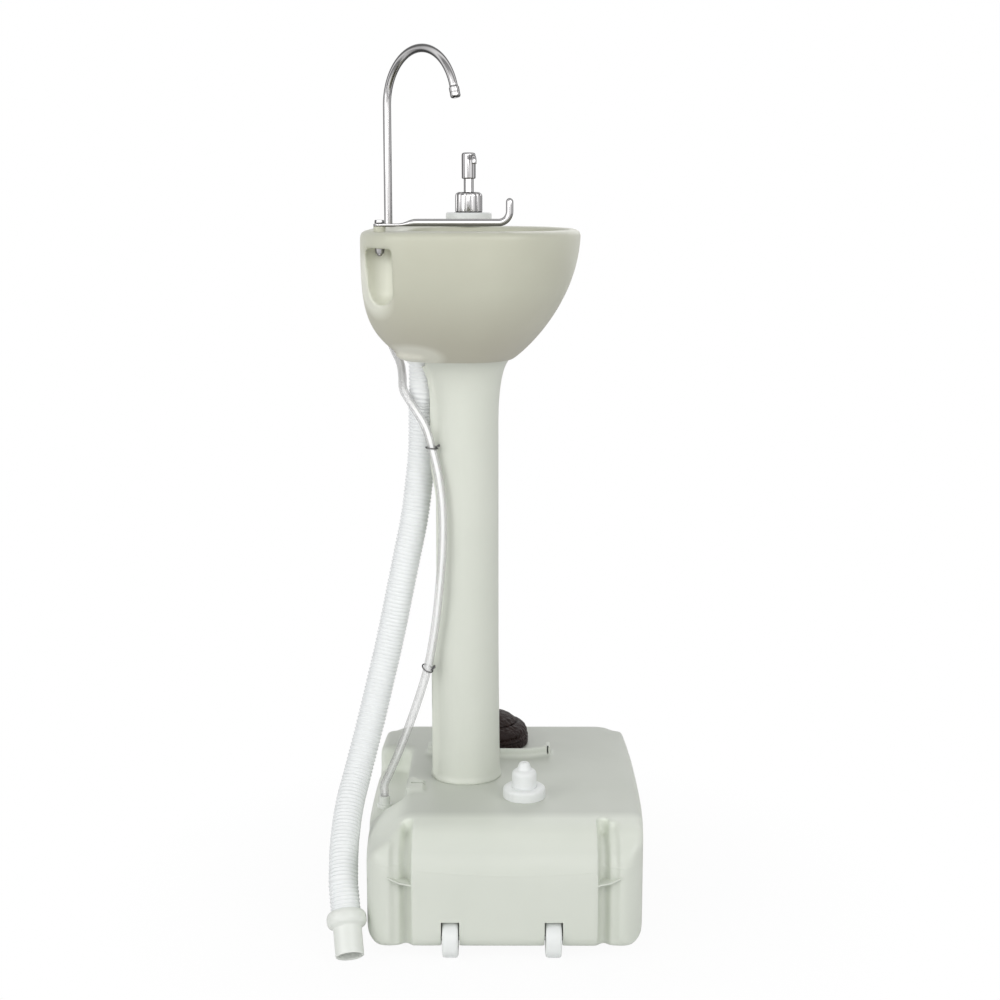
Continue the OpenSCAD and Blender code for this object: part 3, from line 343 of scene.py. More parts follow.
# %% Adds to the tank
end_x, side_y, top_z, low_z, shoulder_r = 208, 163, 146, 13, 50
wheel_x, wheel_ys, slot_wid, slot_top = -193, (61, -55), 20.6, 46.4
pump = (120, 20)

def upright(x, y, z):
    return (x, y, z)

def along_x(y, z, x):
    return (x, y, z)

def far_ring(z, edge=27, corner=34):
    """One level of the far end, whose shoulder is tighter than the near one."""
    inset = edge - math.sqrt(edge ** 2 - max(0, z - top_z + edge) ** 2)
    x, y, r = end_x - inset, side_y - 7 - inset, corner - inset
    side = arc(x - r, y - r, r, 90, 0, 8)
    outline = [(140, y)] + side + [(a, -b) for a, b in reversed(side)] + [(140, -y)]
    return [(a, b, z) for a, b in outline]

def carve(piece, bm, voxel=None):
    """Takes closed shapes away from a piece."""
    cut = loose("cut", bm)
    if voxel:
        settle(cut, ("REMESH", {"mode": "VOXEL", "voxel_size": voxel}))
    settle(piece, ("BOOLEAN", {"operation": "DIFFERENCE", "object": cut, "solver": "MANIFOLD"}))
    bpy.data.objects.remove(cut)

def skinned(piece, voxel, rounds):
    """Gives a piece one even skin and smooths its edges."""
    return settle(piece, ("REMESH", {"mode": "VOXEL", "voxel_size": voxel}),
                  ("SMOOTH", {"factor": 0.5, "iterations": rounds}))

def grown(piece):
    """Takes a piece's mesh back, in millimetres, so that shapes can be added to it."""
    bm = bmesh.new()
    bm.from_mesh(piece.data)
    bmesh.ops.scale(bm, vec=(1000, 1000, 1000), verts=bm.verts)
    bpy.data.objects.remove(piece)
    return bm

bm = copy_of("tank_shell", "tank")
plug(bm, *pump, 118, top_z, 44)
plug(bm, -80, -23, 118, 150, 18)
plug(bm, -22, 146, 100, 110, 8)
loft(bm, [far_ring(z) for z in (90, 119, 124, 129, 134, 138, 141.5, 144, 145.6)])
slot_fill = [(-end_x, 60), (-end_x, 28), (-203.6, 17.4), (-193, low_z), (-150, low_z), (-150, 60)]
for y in wheel_ys:
    block(bm, slot_fill, y - 13, y + 13, lambda x, z, y: (x, y, z))
tank = as_piece("tank_moulding", bm)
settle(tank, ("REMESH", {"mode": "VOXEL", "voxel_size": 0.0024}))
print("shells in the copy:", largest_island(tank))
bm = bmesh.new()
soft_corner = [(103.6, 148.8)] + arc(112, 86, 51.5, 62, 0, 10)
soft_corner += [(163.5, 60), (190, 60), (190, 160), (103.6, 160)]
block(bm, soft_corner, -end_x - 10, -58, along_x)
block(bm, [(52, -64), (192, -64), (192, 96), (52, 96)], top_z, 175, upright)
carve(tank, bm)
skinned(tank, 0.0024, 24)

# %% Cuts in the tank
def groove_cut(bm, end, y, wide, deep, shoulder, last, past=0):
    """An upright channel with an arched top. It climbs the shoulder up to the angle last, and past beyond."""
    x, z = end_x - shoulder, top_z - shoulder
    points = [(end_x, -6 + (z + 6) * k / 8) for k in range(8)]
    points += arc(x, z, shoulder, 0, last, 12 if last else 1)[:-1]
    tip = math.radians(last)
    foot = Vector((x + shoulder * math.cos(tip), z + shoulder * math.sin(tip)))
    onward = Vector((-math.sin(tip), math.cos(tip)))
    points.append(foot)
    scales = [1] * len(points)
    for k in range(5):
        turn = math.radians(90 * k / 4.3)
        points.append(foot + onward * (past + 0.5 + wide * math.sin(turn)))
        scales.append(math.cos(turn))
    line = [Vector((end * a, y, b)) for a, b in points]
    for loop in sweep(bm, line, [(wide * k, deep * k) for k in scales], 24, Vector((0, 1, 0))):
        bmesh.ops.contextual_create(bm, geom=loop)

bm = bmesh.new()
for side in (-1, 1):
    groove_cut(bm, -1, side * 111.5, 7, 18, shoulder_r, 90, 6)
    groove_cut(bm, -1, side * 118, 10.5, 8, shoulder_r, 80)
    groove_cut(bm, 1, side * 111.5, 7, 14, 34, 0)
carve(tank, bm, 0.0014)

# %% Fence of the pump, slots and webs
def right_half(points):
    return [(x, 2 * pump[1] - y) for x, y in reversed(points)]

front = [(71, -57.5), (64.5, -43), (60, -31), (58, -20)]
back = [(64, -20), (66, -31), (71, -44), (77, -49), (90, -51), (90, -57.5)]
bm = grown(tank)
block(bm, front + right_half(front) + right_half(back) + back, 138, 158.2, upright)
block(bm, [(-61, 97), (-28, 99), (-28, 118), (-61, 118)], 140, 149.5, upright)
tank = as_piece("tank_moulding", bm)
skinned(tank, 0.0023, 4)
bm = bmesh.new()
for y in wheel_ys:
    slot = [(-end_x - 12, -4), (-end_x - 12, slot_top), (-167, slot_top), (-167, -4)]
    block(bm, slot, y - slot_wid / 2, y + slot_wid / 2, lambda x, z, y: (x, y, z))
block(bm, [(50, -53.4), (50, -55.4), (86, -55.4), (86, -53.4)], 147.8, 157.4, upright)
block(bm, [(-43, 96), (-39.5, 96), (-39.5, 113), (-43, 113)], 146.2, 156, upright)
carve(tank, bm)
bm = grown(tank)
slope = [(131, 99), (118, 92.5), (103, 89.5)]
for end in (-1, 1):
    for side in (-1, 1):
        web = [(side * a, b + 0.8) for a, b in slope] + [(side * a, b - 0.8) for a, b in reversed(slope)]
        block(bm, web, end * (end_x - 19), end * (end_x - 0.6), along_x)
tank = as_piece("tank_moulding", bm)
tank.data.set_sharp_from_angle(angle=math.radians(38))
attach(tank, "root")
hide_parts("tank_shell")
print("tank", len(tank.data.polygons), "faces")

# %% [markdown]
# The basin is one double-walled moulding. Its outer skin is a stack of rounded outlines, squarish
# at the back and rounder at the front, which shrinks down to the drain. The bowl is a second stack
# that is cut out, and two finger pockets are cut from the corners.

# %% Basin outlines
rim_z, basin_h, skirt_r = 806, 152, 55.5

def bend(v, n):
    return math.copysign(abs(v) ** (2 / n), v)

def level(z, y, half_w, front, back, sides=144):
    ring = []
    for k in range(sides):
        a = 2 * math.pi * k / sides
        behind = math.sin(a) > 0
        n = 4 if behind else 2.3
        reach = back if behind else front
        ring.append((half_w * bend(math.cos(a), n), y + reach * bend(math.sin(a), n), z))
    return ring

def skin_level(s, inset):
    s = max(s, 0)
    y = 25 + 22 * s * s
    half_w = skirt_r + (188 - skirt_r) * (1 - s * s) ** 0.75
    front = y + 5 + 82 * (1 - s * s) ** 0.875
    back = 103 + 59 * (1 - s ** 5) - y
    return level(rim_z - basin_h * s, y, half_w - inset, front - inset, back - inset)

def bowl_level(s, grow, raise_by=0):
    y = 24 + 48 * s * s
    half_w = 46 + 76 * (1 - s ** 2.4) ** 0.6 + grow
    front = 30 - 100 * (1 - s ** 2.2) ** 0.8 - grow
    back = 119 - 3 * s + grow
    return level(rim_z - 132 * s + raise_by, y, half_w, y - front, back - y)

# %% Basin
def rounded(lip, count=5):
    """Depth and inset of the steps round a lip."""
    angles = [math.pi / 2 * k / count for k in range(count)]
    return [(lip * (1 - math.cos(a)), lip * (1 - math.sin(a))) for a in angles]

skin = [skin_level(d / basin_h, i) for d, i in rounded(7)]
skin += [skin_level(s, 0) for s in [0.05 + 0.93 * (1 - (1 - k / 26) ** 1.6) for k in range(27)]]
basin = as_piece("basin_moulding", loft(bmesh.new(), skin))
bowl = [bowl_level(0, 5, 4)] + [bowl_level(d / 132, i) for d, i in rounded(5)]
bowl += [bowl_level(s, 0) for s in [0.045 + 0.955 * (1 - (1 - k / 24) ** 1.5) for k in range(25)]]
bowl_cut = loose("bowl_cut", loft(bmesh.new(), bowl))

def pocket(x, y, side):
    bm = bmesh.new()
    turned(bm, [(0, -15), (5.7, -13.9), (10.6, -10.6), (13.9, -5.7), (15, 0), (15, 46.5), (0, 46.5)], 48)
    made = bmesh.ops.create_cube(bm, size=1)
    bmesh.ops.scale(bm, vec=(70, 30, 46.5), verts=made["verts"])
    bmesh.ops.translate(bm, vec=(side * 35, 0, 23.25), verts=made["verts"])
    made = bmesh.ops.create_cone(bm, cap_ends=True, segments=48, radius1=15, radius2=15, depth=70)
    bmesh.ops.rotate(bm, matrix=Matrix.Rotation(math.radians(90), 3, "Y"), verts=made["verts"])
    bmesh.ops.translate(bm, vec=(side * 35, 0, 0), verts=made["verts"])
    bmesh.ops.translate(bm, vec=(x, y, 742), verts=bm.verts)
    return bm

def hole(x, y, low, high, radius):
    bm = bmesh.new()
    plug(bm, x, y, low, high, radius)
    return bm

cuts = [bowl_cut]
for name, shape in (("rail_pocket_cut", pocket(-136, 135, -1)), ("faucet_pocket_cut", pocket(128, 143.5, 1)),
                    ("bottle_cut", hole(152, 45, 752, 812, 19.4)), ("drain_cut", hole(0, 96, 640, 700, 11.5)),
                    ("strainer_cut", hole(0, 96, 671.5, 690, 17.4))):
    cut = loose(name, shape)
    settle(cut, ("REMESH", {"mode": "VOXEL", "voxel_size": 0.001}))
    cuts.append(cut)
settle(basin, *[("BOOLEAN", {"operation": "DIFFERENCE", "object": cut, "solver": "EXACT"}) for cut in cuts])
boss = [(12.4, 655.2), (21, 655.2), (22.6, 656.8), (22.8, 674), (12.4, 674), (12.4, 655.2)]
bm = turned(grown(basin), boss, 64, (0, 96, 0))
bulge_at, bulge_size = (-60, 97, 667), (28, 27, 9)
made = bmesh.ops.create_uvsphere(bm, u_segments=48, v_segments=24, radius=1)
bmesh.ops.scale(bm, vec=bulge_size, verts=made["verts"])
bmesh.ops.translate(bm, vec=bulge_at, verts=made["verts"])
basin = as_piece("basin_moulding", bm)
skinned(basin, 0.0024, 4)
for cut in cuts:
    bpy.data.objects.remove(cut)
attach(basin, "root")
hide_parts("basin")
print("basin", len(basin.data.polygons), "faces")

# %% [markdown]
# The foot pump is a rubber bulb. Old rubber of this kind is brown-black and deeply wrinkled, so
# the turned shape gets small random moves before the material adds the fine creases.

# %% Foot pump bulb
def wrinkled(bm, amount, size):
    bmesh.ops.subdivide_edges(bm, edges=bm.edges, cuts=1, use_grid_fill=True)
    bmesh.ops.recalc_face_normals(bm, faces=bm.faces)
    bm.normal_update()
    for v in bm.verts:
        crease = 1 - abs(noise.noise(v.co / size)) * 2
        v.co -= v.normal * amount * max(crease, 0) ** 3
    return bm

wall = [(42, 156.4), (50, 156.4), (50.2, 157.6), (49.8, 158.8), (48.4, 160.4), (48.2, 161.6), (48.8, 163.4),
        (48.4, 166), (47, 168.6), (44.4, 171.2), (41, 173.6), (36.6, 175.8), (33, 175.6), (40, 170.6),
        (44.5, 165), (42, 161), (42, 156.4)]
foot = [(0, 146.3), (48.6, 146.3), (50.2, 148), (50, 151), (50.4, 155), (49.6, 156.3), (0, 156.3)]
bulb_foot = as_piece("bulb_foot", wrinkled(turned(bmesh.new(), foot, 110, (*pump, 0)), 0.5, 9))
bulb_wall = as_piece("bulb_wall", wrinkled(turned(bmesh.new(), wall, 110, (*pump, 0)), 0.9, 9))
# The dome is filled below, unlike the solid that it replaces, so the spring's top is hidden inside it.
dome = [(0, 189.8), (6, 189.5), (12, 188.4), (18, 186.8), (24, 184.6), (29, 182), (33, 179), (36, 176.2),
        (32, 176.2), (0, 176.2)]
bulb_dome = as_piece("bulb_dome", wrinkled(turned(bmesh.new(), dome, 110, (*pump, 0)), 0.9, 9))
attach(bulb_foot, "root")
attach(bulb_wall, "root")
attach(bulb_dome, "foot_pump")
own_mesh(bulb_wall)
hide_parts("pump_base")
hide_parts("pump_bellows")
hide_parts("pump_crown")
print("bulb", len(bulb_wall.data.polygons) + len(bulb_dome.data.polygons), "faces")

# %% [markdown]
# Now the small parts, one after another: the column, the wheels, the faucet, the towel rail, the
# soap pump, the filler cap, the springs and the twisted wires. The two springs are plain copies of
# their solids, and the stroke of each press is read for them.

# %% Column
def ease(t):
    t = min(max(t, 0), 1)
    return t * t * (3 - 2 * t)

bm = copy_of("column", "column")
column_top = max(v.co.z for v in bm.verts)
for v in bm.verts:
    if v.co.z > column_top - 1:
        v.co.z += 3
column = as_piece("column_moulding", bm)
skinned(column, 0.0023, 3)
for v in column.data.vertices:
    waist = ease((v.co.z - 0.305) / 0.07) * ease((0.54 - v.co.z) / 0.05)
    if v.co.y > 0.047:
        v.co.y -= (v.co.y - 0.047) * 0.16 * waist
dress(column, "column")
print("column", len(column.data.polygons), "faces")

# %% Wheels
for node, y in zip(("wheel_rear", "wheel_front"), wheel_ys):
    half = [(3.1, 0), (3.1, -9), (7.5, -9), (9.5, -6.6), (15, -6.6), (17, -9), (20.2, -9), (22, -7), (22, 0)]
    tyre = half + [(r, -z) for r, z in reversed(half[:-1])]
    lathe(node, tyre, (wheel_x, y, 22), 1.2, 72, (0, 1, 0), (1, 0, 0))

# %% Faucet
spout_way = Vector((math.cos(math.radians(222)), math.sin(math.radians(222)), 0))
faucet_foot = Vector((128, 143.5, 0))
leg = [faucet_foot + Vector((0, 0, 778 + 173 * k / 40)) for k in range(40)]
bow = [faucet_foot + spout_way * 64 * (1 - math.cos(a)) + Vector((0, 0, 951 + 64 * math.sin(a)))
       for a in (math.radians(165 * k / 80) for k in range(81))]
spout_axis = (bow[-1] - bow[-2]).normalized()
bm = bmesh.new()
start, end = sweep(bm, leg + bow, [5] * 121, 48)
inner_start, inner_end = sweep(bm, leg + bow, [3.6] * 121, 48)
bmesh.ops.bridge_loops(bm, edges=start + inner_start)
bmesh.ops.bridge_loops(bm, edges=end + inner_end)
dress(as_piece("faucet_bow", bm), "faucet_tube")
aerator = [(3.7, 0), (5.5, 0), (6.1, 0.8), (6.1, 5.6), (5.8, 6), (5.8, 6.4), (6.1, 6.8), (6.1, 10.6),
           (5.3, 12), (4.6, 12), (4.3, 11.4), (4.3, 6), (3.7, 6), (3.7, 0)]
lathe("faucet_nozzle", aerator, bow[-1], 0.3, 64, spout_axis, spout_way.cross((0, 0, 1)))

# %% Towel rail
def bar_ring(place, side, up, wide, high, n, sides=40):
    angles = [2 * math.pi * k / sides for k in range(sides)]
    return [place + side * wide * bend(math.cos(a), n) + up * high * bend(math.sin(a), n) for a in angles]

bolt = Vector((-136, 135, 0))
side, up = Vector((1, 0, 0)), Vector((0, 0, 1))
rings = []
flat_end = ((-6.4, 1.0, 0.9), (-6.1, 2.2, 1.3), (-5.2, 3.9, 1.5), (-3.6, 5.4, 1.5), (-1.5, 6.3, 1.5),
            (0, 6.5, 1.5), (12, 6.4, 1.5), (21, 6.1, 1.55), (25, 5.7, 1.9), (29, 5.1, 2.6), (33, 4.4, 3.4),
            (37, 4.05, 3.9), (41, 4, 4))
for d, wide, high in flat_end:
    squareness = 2 + 3 * max(0, (37 - d) / 37) if d > 0 else 5
    rings.append(bar_ring(bolt + Vector((0, -d, 811.5 + high)), side, up, wide, high, squareness))
rings += [bar_ring(bolt + Vector((0, -d, 815.5)), side, up, 4, 4, 2) for d in range(48, 129, 8)]
for k in range(1, 13):
    a = math.radians(7.5 * k)
    place = bolt + Vector((0, -128 - 12 * math.sin(a), 815.5 + 12 * (1 - math.cos(a))))
    rings.append(bar_ring(place, side, Vector((0, math.sin(a), math.cos(a))), 4, 4, 2))
for z in (832, 837.5):
    rings.append(bar_ring(bolt + Vector((0, -140, z)), side, Vector((0, 1, 0)), 4, 4, 2))
for a in (20, 40, 60, 75, 86):
    r = 4 * math.cos(math.radians(a))
    place = bolt + Vector((0, -140, 837.5 + 4 * math.sin(math.radians(a))))
    rings.append(bar_ring(place, side, Vector((0, 1, 0)), r, r, 2))
rail = as_piece("towel_rail_bar", loft(bmesh.new(), rings))
shank = loose("bolt_cut", hole(-136, 135, 800, 830, 3.1))
settle(rail, ("BOOLEAN", {"operation": "DIFFERENCE", "object": shank, "solver": "EXACT"}))
bpy.data.objects.remove(shank)
dress(rail, "towel_rail")

def hexagon(bm, x, y, low, high, low_r, high_r, soften):
    made = bmesh.ops.create_cone(bm, cap_ends=True, segments=6, radius1=low_r, radius2=high_r,
                                 depth=high - low)
    bmesh.ops.translate(bm, vec=(x, y, (low + high) / 2), verts=made["verts"])
    edges = list({e for v in made["verts"] for e in v.link_edges})
    bmesh.ops.bevel(bm, geom=edges, offset=soften, segments=2, profile=0.5, affect="EDGES", material=-1)
    return bm

bm = hexagon(bmesh.new(), -136, 135, 814.7, 818.3, 5.5, 5.2, 0.5)
turned(bm, [(0, 779.5), (1.2, 779.7), (2.3, 780.5), (3, 782), (3, 814.8), (0, 814.8)], 32, (-136, 135, 0))
dress(as_piece("towel_bolt_hex", bm), "towel_bolt")
bm = hexagon(bmesh.new(), -136, 135, 782.5, 788.5, 4.9, 5.8, 0.8)
dress(as_piece("towel_nut_hex", bm), "towel_nut")
bm = hexagon(bmesh.new(), 128, 143.5, 781.5, 788.5, 9, 9, 0.7)
dress(as_piece("faucet_nut_hex", bm), "faucet_nut")

# %% Soap pump
soap = (152, 45, 0)
knurl = [(6.3, 846.5), (6.3, 839.2), (11, 839.2), (11, 823), (16, 823), (17, 824.2), (17, 843.6),
         (16.2, 846), (13.4, 847.9), (8.4, 848), (8.2, 844.5), (6.3, 844.5)]
bm = turned(bmesh.new(), eased(knurl + knurl[:1], 0.5), 224, soap)
dress(as_piece("soap_collar_fluted", flute(bm, soap, 14, 1.1, 0.09, 12.5)), "soap_collar")
lathe("soap_flange", [(9.7, 823), (9.7, 806), (28.5, 806), (28.5, 821.5), (27.4, 823), (9.7, 823)], soap, 1.0)
plunger = [(1.8, 834.8), (8.2, 834.8), (8.2, 838.8), (6.2, 838.8), (6.2, 864), (3.5, 864), (3.5, 872),
           (1.8, 872), (1.8, 834.8)]
lathe("soap_stem", plunger, soap, 0.3)
crown = [(3.6, 864), (7.9, 864), (8.7, 865), (8.8, 893), (8.2, 895), (6.4, 895.9), (0, 896), (0, 874),
         (3.6, 874), (3.6, 864)]
bm = turned(bmesh.new(), eased(crown, 0.8), 96, soap)
mouth_way = Vector((-math.cos(math.radians(12)), -math.sin(math.radians(12)), 0))
beak = [Vector((152, 45, 890)) + mouth_way * d for d in (6, 12, 18, 24, 29)]
for k in range(1, 7):
    a = math.radians(15 * k)
    beak.append(beak[4] + mouth_way * 6 * math.sin(a) - Vector((0, 0, 6 * (1 - math.cos(a)))))
beak += [beak[-1] - Vector((0, 0, d)) for d in (1, 2.5)]
widths = [3.4] * 5 + [3.35, 3.3, 3.25, 3.2, 3.15, 3.1, 3.05, 3.0]
start, end = sweep(bm, beak, widths, 32)
deep, lip_end = sweep(bm, beak[6:], [2.2] * 7, 32)
bmesh.ops.bridge_loops(bm, edges=end + lip_end)
for loop in (start, deep):
    bmesh.ops.contextual_create(bm, geom=loop)
dress(as_piece("soap_head_spout", bm), "soap_head")

# %% Filler cap
filler = (-80, -23, 0)
screw = [(20.1, 147), (24.6, 147), (25, 147.6), (25, 156.4), (24.2, 158.6), (22, 159.9), (14.6, 160),
         (14.6, 158.2), (20.1, 158.2), (20.1, 147)]
bm = turned(bmesh.new(), eased(screw, 1.2), 192, filler)
dress(as_piece("cap_ring_moulded", flute(bm, filler, 24, 0.22, 0.2, 23)), "cap_ring")
stub = [(1.2, 189.4), (4.4, 189.2), (6.2, 187.6), (7.3, 184), (8.9, 180.6), (11.2, 180), (13.6, 178),
        (14.4, 175), (14.5, 158.2), (19.7, 158.0), (19.7, 155.5), (11.5, 155.5), (11.5, 174.4), (1.2, 174.4),
        (1.2, 189.4)]
lathe("cap_insert", stub, filler, 1.3)

# %% Springs
joint_at = {entry["name"]: entry for entry in frame["record"]["behaviour"]["joints"]}
for node, press in (("pump_spring", "pump_press"), ("soap_spring", "soap_press")):
    bm = copy_of(node, node)
    heights = [v.co.z / 1000 for v in bm.verts]
    low, high = min(heights), max(heights)
    spring = as_piece(node + "_coil", bm)
    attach(spring, "root")
    stroke = joint_at[press]["range_m"][1]
    1 - stroke / (high - low)
    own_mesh(spring)
    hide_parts(node)
    dressed.append((spring, slot_at[node]))
    print(spring.name, "from", round(low, 4), "to", round(high, 4))

# %% Wire ties
def twist(bm, a, b, turns, radius, gap, loose_end=0.0):
    """Two strands that wind round each other from a to b."""
    way = (b - a).normalized()
    u = way.orthogonal().normalized()
    v = way.cross(u)
    for phase in (0, math.pi):
        line = []
        for k in range(41):
            t, angle = k / 40, phase + 2 * math.pi * turns * k / 40
            spread = gap + loose_end * max(0, t - 0.75) * 4
            line.append(a.lerp(b, t) + (u * math.cos(angle) + v * math.sin(angle)) * spread)
        start, end = sweep(bm, line, [radius] * 41, 10)
        for loop in (start, end):
            bmesh.ops.contextual_create(bm, geom=loop)

for node, height in (("wire_tie_upper", 557), ("wire_tie_lower", 290)):
    at = min(range(len(tube_points)), key=lambda i: abs(tube_points[i].z - height))
    p, t = tube_points[at], (tube_points[at + 1] - tube_points[at - 1]).normalized()
    hole_at = Vector((-22, 83.8, height))
    toward = (hole_at - Vector((4, 0, 0)) - p)
    toward = (toward - t * toward.dot(t)).normalized()
    u, v = toward, t.cross(toward)
    bm = bmesh.new()
    turns = [2 * math.pi * k / 36 for k in range(37)]
    loop = [p + (u * math.cos(a) + v * math.sin(a)) * 6.6 + t * 2.4 * math.sin(a) for a in turns]
    start, end = sweep(bm, loop, [0.8] * 37, 10)
    for ends in (start, end):
        bmesh.ops.contextual_create(bm, geom=ends)
    near = hole_at - Vector((4, 0, 0))
    twist(bm, p + u * 6.4, near, max(1, (near - p).length / 5), 0.8, 0.7)
    twist(bm, near, hole_at + Vector((3, 0, 0)), 1, 0.55, 0.45)
    away = Vector((-1, -1, 0))
    away = (away - t * away.dot(t)).normalized()
    twist(bm, p + away * 6.6, p + Vector((-8, -9, 4)), 3, 0.55, 0.55, 0.8)
    dress(as_piece(node + "_twisted", bm), node)
print(len(dressed), "dressed pieces")

# %% [markdown]
# The studio is a pale floor that the camera sees as near white, a soft world, and five lamps that
# light the stand plainly. Where they don't give a tone that the picture shows, the tank and the
# basin carry some of that light and shade in their own colour.

# %% Studio
def lamp(name, place, target, size, watts):
    data = bpy.data.lights.new(name, "AREA")
    data.shape = "SQUARE"
    data.size = size
    data.energy = watts
    obj = bpy.data.objects.new(name, data)
    obj.location = place
    obj.rotation_euler = (Vector(target) - Vector(place)).to_track_quat("-Z", "Y").to_euler()
    bpy.context.scene.collection.objects.link(obj)

middle = (0, 0, 0.5)
lamp("key_lamp", (-2.1, -1.7, 1.9), middle, 1.6, 27)
lamp("fill_lamp", (-1.7, 2.3, 1.4), middle, 1.8, 27)
lamp("front_lamp", (-2.6, 0.2, 1.5), middle, 1.4, 11)
lamp("top_lamp", (0.6, 0.3, 2.8), middle, 1.8, 1)
lamp("back_lamp", (2.4, -0.8, 1.8), middle, 1.6, 8)

# %% Shader sums
class Flow:
    """A socket of a material that can be used in sums."""
    def __init__(self, tree, socket=None):
        self.tree, self.socket = tree, socket
    def node(self, kind, settings=None, inputs=None, output=0):
        made = self.tree.nodes.new("ShaderNode" + kind)
        for key, value in (settings or {}).items():
            if key == "stops":
                ramp = made.color_ramp.elements
                while len(ramp) < len(value):
                    ramp.new(0.5)
                for stop, (place, colour) in zip(ramp, value):
                    stop.position = place
                    stop.color = colour if len(colour) == 4 else (*colour, 1)
            else:
                setattr(made, key, value)
        for key, value in (inputs or {}).items():
            if isinstance(value, Flow):
                self.tree.links.new(value.socket, made.inputs[key])
            else:
                made.inputs[key].default_value = value
        return Flow(self.tree, made.outputs[output])
    def maths(self, operation, a, b):
        return self.node("Math", {"operation": operation}, {0: a, 1: b})
    def __add__(self, other): return self.maths("ADD", self, other)
    def __radd__(self, other): return self.maths("ADD", other, self)
    def __sub__(self, other): return self.maths("SUBTRACT", self, other)
    def __rsub__(self, other): return self.maths("SUBTRACT", other, self)
    def __mul__(self, other): return self.maths("MULTIPLY", self, other)
    def __rmul__(self, other): return self.maths("MULTIPLY", other, self)
    def clamp(self, low=0.0, high=1.0):
        return self.node("Clamp", inputs={0: self, 1: low, 2: high})
    def mix(self, a, b):
        return self.node("Mix", {"data_type": "RGBA"}, {0: self, 6: a, 7: b}, 2)

def linear(r, g, b):
    """A screen colour, from 0 to 255, as Blender's linear one."""
    def one(v):
        return v / 255 / 12.92 if v <= 10 else ((v / 255 + 0.055) / 1.055) ** 2.4
    return one(r), one(g), one(b), 1

def new_material(name):
    material = bpy.data.materials.new(name)
    material.use_nodes = True
    tree = material.node_tree
    tree.nodes.clear()
    flow = Flow(tree)
    flow.out = tree.nodes.new("ShaderNodeOutputMaterial")
    return material, flow

def finish_material(flow, shader):
    flow.tree.links.new(shader.socket, flow.out.inputs["Surface"])

def object_place(flow):
    return flow.node("TexCoord", output=3)

def noise_of(flow, scale, detail=2.0, rough=0.5, place=None):
    return flow.node("TexNoise", inputs={
        "Vector": place or object_place(flow), "Scale": scale, "Detail": detail, "Roughness": rough})

# %% World
world = bpy.data.worlds.new("world")
bpy.context.scene.world = world
world.use_nodes = True
world.node_tree.nodes.clear()
sky = Flow(world.node_tree)
ray = world.node_tree.nodes.new("ShaderNodeLightPath")
camera_ray, glossy_ray, clear_ray = (Flow(world.node_tree, ray.outputs[f"Is {kind} Ray"])
                                     for kind in ("Camera", "Glossy", "Transmission"))
seen = (camera_ray + glossy_ray + clear_ray).clamp()
soft_light = sky.node("Background", inputs={"Color": (1, 1, 1, 1), "Strength": 0.37})
bright = sky.node("Background", inputs={"Color": (1, 1, 1, 1), "Strength": 1.0})
both = sky.node("MixShader", inputs={0: seen, 1: soft_light, 2: bright})
world_out = world.node_tree.nodes.new("ShaderNodeOutputWorld")
world.node_tree.links.new(both.socket, world_out.inputs["Surface"])

# %% Floor
bm = bmesh.new()
bmesh.ops.create_grid(bm, x_segments=1, y_segments=1, size=4)
floor = as_piece("floor", bm, scale=1, smooth=False)
floor.location = (0, 0, -0.0002)
floor_material, flow = new_material("pale_floor")
pale = flow.node("BsdfPrincipled", inputs={"Base Color": (0.93, 0.93, 0.93, 1), "Roughness": 0.7})
glow = flow.node("Emission", inputs={"Color": (1, 1, 1, 1), "Strength": 1.0})
ray = Flow(flow.tree, flow.tree.nodes.new("ShaderNodeLightPath").outputs["Is Camera Ray"])
far = flow.node("VectorMath", {"operation": "LENGTH"}, {0: object_place(flow)}, 1)
share = (far * 0.2 + 0.90).clamp(0.94, 1.0) * ray
finish_material(flow, flow.node("MixShader", inputs={0: share, 1: pale, 2: glow}))
floor.data.materials.append(floor_material)

# %% [markdown]
# Blow-moulded polyethylene is satin, faintly cloudy and never quite flat. Its material takes one
# noise for the cloudiness, and a bump from a broad and a fine noise for the skin. The low colour,
# the pale places and the bands stand in for light and shade. The real plastic has none of them, so
# leave them out where the materials are used in other light.

# %% Moulded plastic
# Heights of the tank's painted light and shade bands: they reach up to band_top, and from end_from they sit
# higher towards the wheeled end.
band_top, end_from = 0.16, -0.126

